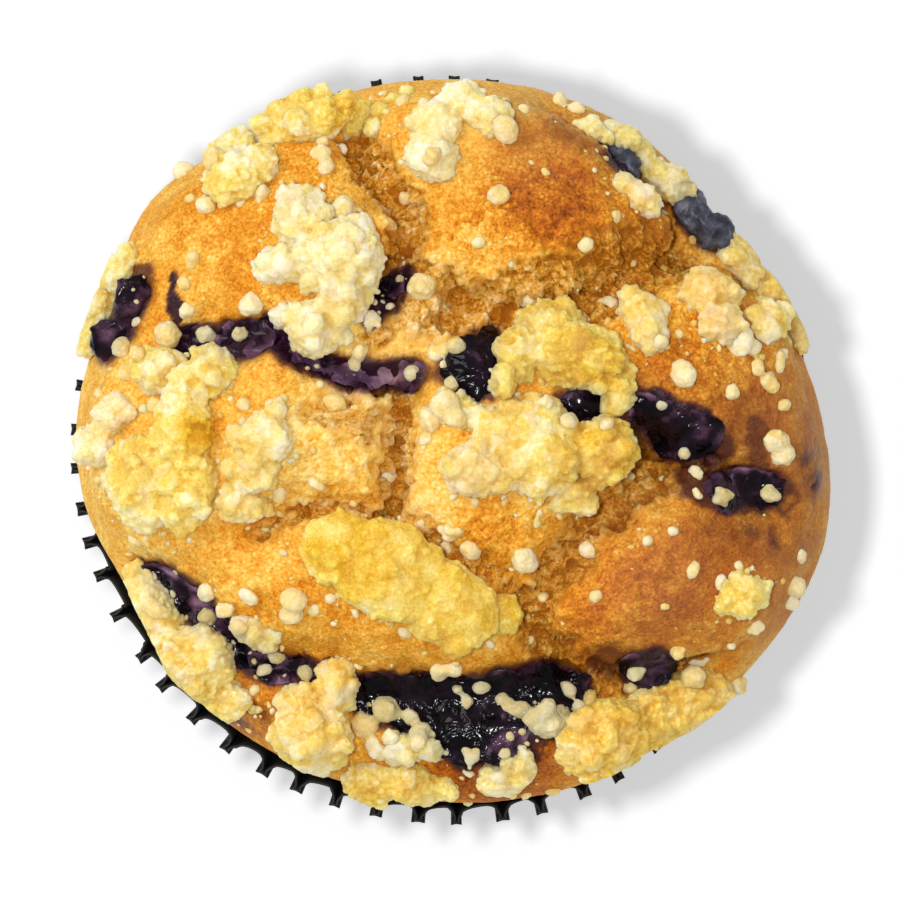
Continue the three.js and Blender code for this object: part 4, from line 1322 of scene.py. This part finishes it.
def strewn_crumbs(count, least, more, power, depth, hosts, topping_mask, rng):
    """Middles and radii of crumbs strewn on the pieces whose names start as hosts say. A radius is
    least + more * share^power, with a random share."""
    centres, radii = [], []
    for x, y in strewn_places(count, topping_mask, rng):
        place, normal, name = surface_at(x, y)
        radius = least + more * rng.random() ** power
        if name.startswith(hosts):
            centres.append(place - normal * radius * depth)
            radii.append(radius)
    return np.array(centres), np.array(radii)


def pearl_piece(material, jam_mask, topping_mask, rng):
    """Whole crumbs at their own places, with small ones stuck to them, and middling ones strewn
    about: uneven balls, each set a little in what lies below, melted together, relaxed and pushed
    along the normals by grains."""
    centres, radii = [], []
    for x, y, radius in CRUMBS:
        place, normal, name = surface_at(x, y)
        if name not in ("", "floor"):
            centres.append(place + normal * radius * 0.12)
            radii.append(radius)
    centres, radii = np.array(centres), np.array(radii)
    whole = balls(centres, radii * 0.96, rows=6, columns=10, squash=0.88, rough=0.3, rng=rng)
    spots, sizes = strewn_crumbs(*MIDDLING_CRUMBS, topping_mask, rng)
    middling = balls(spots, sizes, rows=4, columns=8, squash=0.85, rough=0.35, rng=rng)
    way = rng.normal(size=(len(centres), GRANULES, 3))
    way /= np.linalg.norm(way, axis=2, keepdims=True)
    parts = radii[:, None] * rng.uniform(0.3, 0.55, (len(centres), GRANULES))
    places = centres[:, None] + way * (radii[:, None] - parts * 0.85)[:, :, None]
    stuck = balls(places.reshape(-1, 3), parts.ravel(), rows=5, columns=8, rough=0.2, rng=rng)
    points, quads = fused(PEARL_VOXEL, whole, stuck, middling)
    points = relaxed(points, quads, 3)
    near, _ = grains(points, 0.6, 61)
    points = points + point_normals(points, quads) * (0.12 * (0.5 - near))[:, None]
    # How deep each point lies in a crease, which the material paints a deeper yellow as shade.
    level = relaxed(points, quads, 10)
    crease = np.sum((level - points) * point_normals(points, quads), axis=1)
    _, each = grains(points, 4.0, 63)
    over_jam = smooth(0.25, 0.8, jam_mask.at(points))
    add_piece(
        "streusel_pearls", mesh_from("pearls", points, quads), material, "streusel", (),
        crease=np.clip(0.42 + 1.1 * crease, 0, 1), butter=-0.26 + 0.3 * each,
        toast=0.04 + 0.26 * each, damp=np.clip(0.08 + 0.45 * over_jam, 0, 1),
    )


def fine_crumb_piece(material, jam_mask, topping_mask, rng):
    """Fine crumbs strewn on the cake: uneven balls, each with its own butter and toast."""
    centres, radii = strewn_crumbs(*FINE_CRUMBS, topping_mask, rng)
    points, faces = balls(centres, radii, rows=3, columns=7, rough=0.4, rng=rng)
    each = np.repeat(rng.random(len(centres)), len(points) // len(centres))
    over_jam = smooth(0.25, 0.8, jam_mask.at(points))
    add_piece(
        "streusel_fine_crumbs", mesh_from("fine_crumbs", points, faces), material, "streusel", (),
        crease=np.full(len(points), 0.34), butter=-0.1 + 0.3 * each,
        toast=0.16 + 0.4 * each, damp=0.45 * over_jam,
    )


# ------------------------------------------------------------------ paper case

PAPER_THICKNESS = 0.22
ARC_SHARE = 0.42           # of the pleat's depth that the scallop between two tabs climbs
# Half of a pressed pleat: its distance from the middle of the tab, in pleats, and its way out.
TAB_SIDE = [(0.125, 0.45), (0.085, 0.55), (0.07, 0.68), (0.08, 0.80), (0.125, 0.92), (0.15, 1.0)]
TAB_END = [(0.07, 0.97), (0.0, 0.95)]
SCALLOP_STEPS = 7
CASE_ROWS = 18
BOTTOM_RINGS = (0.25, 0.6, 0.93)
RIM_WAVES = 7
RIM_WAVE_HEIGHT = 0.12
# Tabs pressed off their even places: number of the pleat and degrees.
NUDGED = {
    31: -1.6, 32: -2.4, 33: -2.2, 34: -1.6, 35: -1.8, 36: -1.0, 37: -0.3, 38: -0.5, 39: -1.0,
    40: -1.3, 41: -0.9, 43: -1.1, 45: -0.9,
}


def pleat_profile():
    """One pleat from the middle of a scallop to the middle of the next: place along, in pleats, and
    way out from 0 at the scallop's bottom to 1 at the tab's end. The scallop is a quarter ellipse,
    and the tab a pinched neck with a flared, flat end."""
    share = np.linspace(0, 1, SCALLOP_STEPS, endpoint=False)
    foot_along = 0.5 - (0.5 - TAB_SIDE[0][0]) * np.sin(share * np.pi / 2)
    foot_out = ARC_SHARE * (1 - np.cos(share * np.pi / 2))
    side = np.concatenate([np.stack([foot_along, foot_out], 1), TAB_SIDE, TAB_END])
    back = side[-2:0:-1]
    return np.concatenate([side * (-1, 1), back])


def paper_case_piece(material):
    """The case: the pleat profile carried round the circle and up the slope, its depth growing from
    the foot to the rim, closed by a flat bottom. Each pleat is nudged round, leans, stands out and
    spreads a little differently, and the rim waves. Solidify gives the paper its thickness."""
    rng = np.random.default_rng(5)
    profile = pleat_profile()
    count = PLEATS * len(profile)
    along, out = np.tile(profile, (PLEATS, 1)).T
    even = np.tile(np.linspace(-0.5, 0.5, len(profile), endpoint=False), PLEATS)
    pleat = np.repeat(np.arange(PLEATS), len(profile))
    nudge = rng.normal(0, 0.35, PLEATS)
    for number, degrees_off in NUDGED.items():
        nudge[number] = degrees_off
    lean = rng.normal(0, 0.06, PLEATS)[pleat]
    reach = rng.uniform(0.80, 1.0, PLEATS)[pleat]
    spread = rng.uniform(0.85, 1.15, PLEATS)[pleat]
    in_tab = np.abs(along) < 0.2
    tab = smooth(0.25, 0.95, out)
    shifted = np.where(in_tab, along * spread, along) + lean * tab
    ease = 1 - smooth(0.15, 0.5, np.abs(along))
    shifted = shifted + nudge[pleat] * ease * PLEATS / 360
    out = np.where(out > ARC_SHARE, ARC_SHARE + (out - ARC_SHARE) * reach, out)
    rows = []
    for share in np.linspace(0, 1, CASE_ROWS) ** 0.9:
        depth = FOOT_PLEAT_DEPTH + (PLEAT_DEPTH - FOOT_PLEAT_DEPTH) * share
        pressed = even + (shifted - even) * smooth(0, 0.2, share)
        turn = (pleat + FIRST_PLEAT + pressed) / PLEATS * 2 * np.pi
        tips = FOOT_RADIUS + (RIM_RADIUS + bells(RIM_PRESSES, turn) - FOOT_RADIUS) * share
        height = CASE_HEIGHT * share
        radius = tips - depth * (1 - out)
        wave = RIM_WAVE_HEIGHT * np.sin(RIM_WAVES * turn + 3 * share) * (share == 1)
        rows.append(np.stack([radius * np.cos(turn), radius * np.sin(turn), height + wave], axis=1))
    bottom = [rows[0] * (shrink, shrink, 1) for shrink in BOTTOM_RINGS]
    points = np.concatenate([*bottom, *rows, [(0, 0, 0)]])
    quads = grid_faces(CASE_ROWS + len(BOTTOM_RINGS), count)
    floor_faces = fan_faces(np.arange(count), len(points) - 1, outwards=False)
    piece = add_piece("fluted_paper_case", mesh_from("paper", points, quads, floor_faces),
                      material, "paper_case", ["paper_case"])
    wall = piece.modifiers.new("paper", "SOLIDIFY")
    wall.thickness = PAPER_THICKNESS * MM
    wall.offset = -1


# ------------------------------------------------------------------ floor and light

TABLE_HALF_WIDTH = 1.5     # metres
TABLE_GLOW = 0.34


def add_stage():
    """A white table top, far wider than the view, faintly lit from below so that its shadows stay
    pale."""
    half = TABLE_HALF_WIDTH
    mesh = bpy.data.meshes.new("floor")
    mesh.from_pydata([(-half, -half, 0), (half, -half, 0), (half, half, 0), (-half, half, 0)],
                     [], [(0, 1, 2, 3)])
    material, _, _, _ = new_material(
        "white_table_lit_from_below", Roughness=0.9, Base_Color=linear("#F4F4F4"),
        Emission_Color=(1, 1, 1, 1), Emission_Strength=TABLE_GLOW,
    )
    mesh.materials.append(material)
    floor = bpy.data.objects.new("floor", mesh)
    bpy.context.scene.collection.objects.link(floor)
    return floor


KEY_PLACE = (-28, 1, 430)  # a small lamp near enough for the shadow to spread
KEY_RADIUS = 11
KEY_WATTS = 3.0
SOFTBOX_WAY = (0.75, -0.5, -0.85)
SOFTBOX_STRENGTH = 1.3
SOFTBOX_DEGREES = 30
SURROUND = 0.44


def add_lights(floor):
    """A small key from nearly overhead whose shadow falls short and to the right, a broad softbox
    from the upper left that is flagged off the floor, and an even white surround."""
    key = bpy.data.lights.new("key", "POINT")
    key.energy = KEY_WATTS
    key.shadow_soft_size = KEY_RADIUS * MM
    softbox = bpy.data.lights.new("softbox", "SUN")
    softbox.energy = SOFTBOX_STRENGTH
    softbox.angle = np.radians(SOFTBOX_DEGREES)
    lamps = [bpy.data.objects.new(data.name, data) for data in (key, softbox)]
    lamps[0].location = [place * MM for place in KEY_PLACE]
    lamps[0].visible_camera = False
    lamps[1].rotation_euler = Vector(SOFTBOX_WAY).to_track_quat("-Z", "Y").to_euler()
    for lamp in lamps:
        bpy.context.scene.collection.objects.link(lamp)
    unlit = bpy.data.collections.new("not_lit_by_softbox")
    unlit.objects.link(floor)
    lamps[1].light_linking.receiver_collection = unlit
    unlit.collection_objects[0].light_linking.link_state = "EXCLUDE"
    world = bpy.data.worlds.new("white_surround")
    world.use_nodes = True
    world.node_tree.nodes["Background"].inputs["Color"].default_value = (1, 1, 1, 1)
    world.node_tree.nodes["Background"].inputs["Strength"].default_value = SURROUND
    bpy.context.scene.world = world
    bpy.context.scene.view_settings.view_transform = "Standard"


# ------------------------------------------------------------------ the whole

add_camera(CASE_HEIGHT)
add_lights(add_stage())

streusel_nodes = sorted(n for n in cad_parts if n.startswith("streusel"))
fruit_nodes = sorted(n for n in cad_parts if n.startswith(("jam", "berry", "skin")))

jam, berry_skin = jam_material(), skin_material()
streusel = streusel_material("butter_flour_streusel", 0.9, 2.0)
loose_streusel = streusel_material("loose_streusel_crumbs", 0.6, 0.8)
paper_case_piece(paper_material())
fruit_skins = {n: fruit_skin(n) for n in fruit_nodes}
fruit_points = np.concatenate([skin for skin, _ in fruit_skins.values()])
jam_mask = PlanMask(fruit_points, 0.5)
for node, (skin, quads) in fruit_skins.items():
    fruit_piece(node, skin, quads, jam, berry_skin)
clumps = [streusel_piece(k, n, streusel, jam_mask) for k, n in enumerate(streusel_nodes)]
cake_piece(crust_material(), fruit_points)
bpy.context.view_layer.update()
crumb_rng = np.random.default_rng(77)
near_clumps = PlanMask(np.concatenate(clumps), GRAVEL_REACH)
for crumb_piece in (pearl_piece, fine_crumb_piece):
    crumb_piece(loose_streusel, jam_mask, near_clumps, crumb_rng)
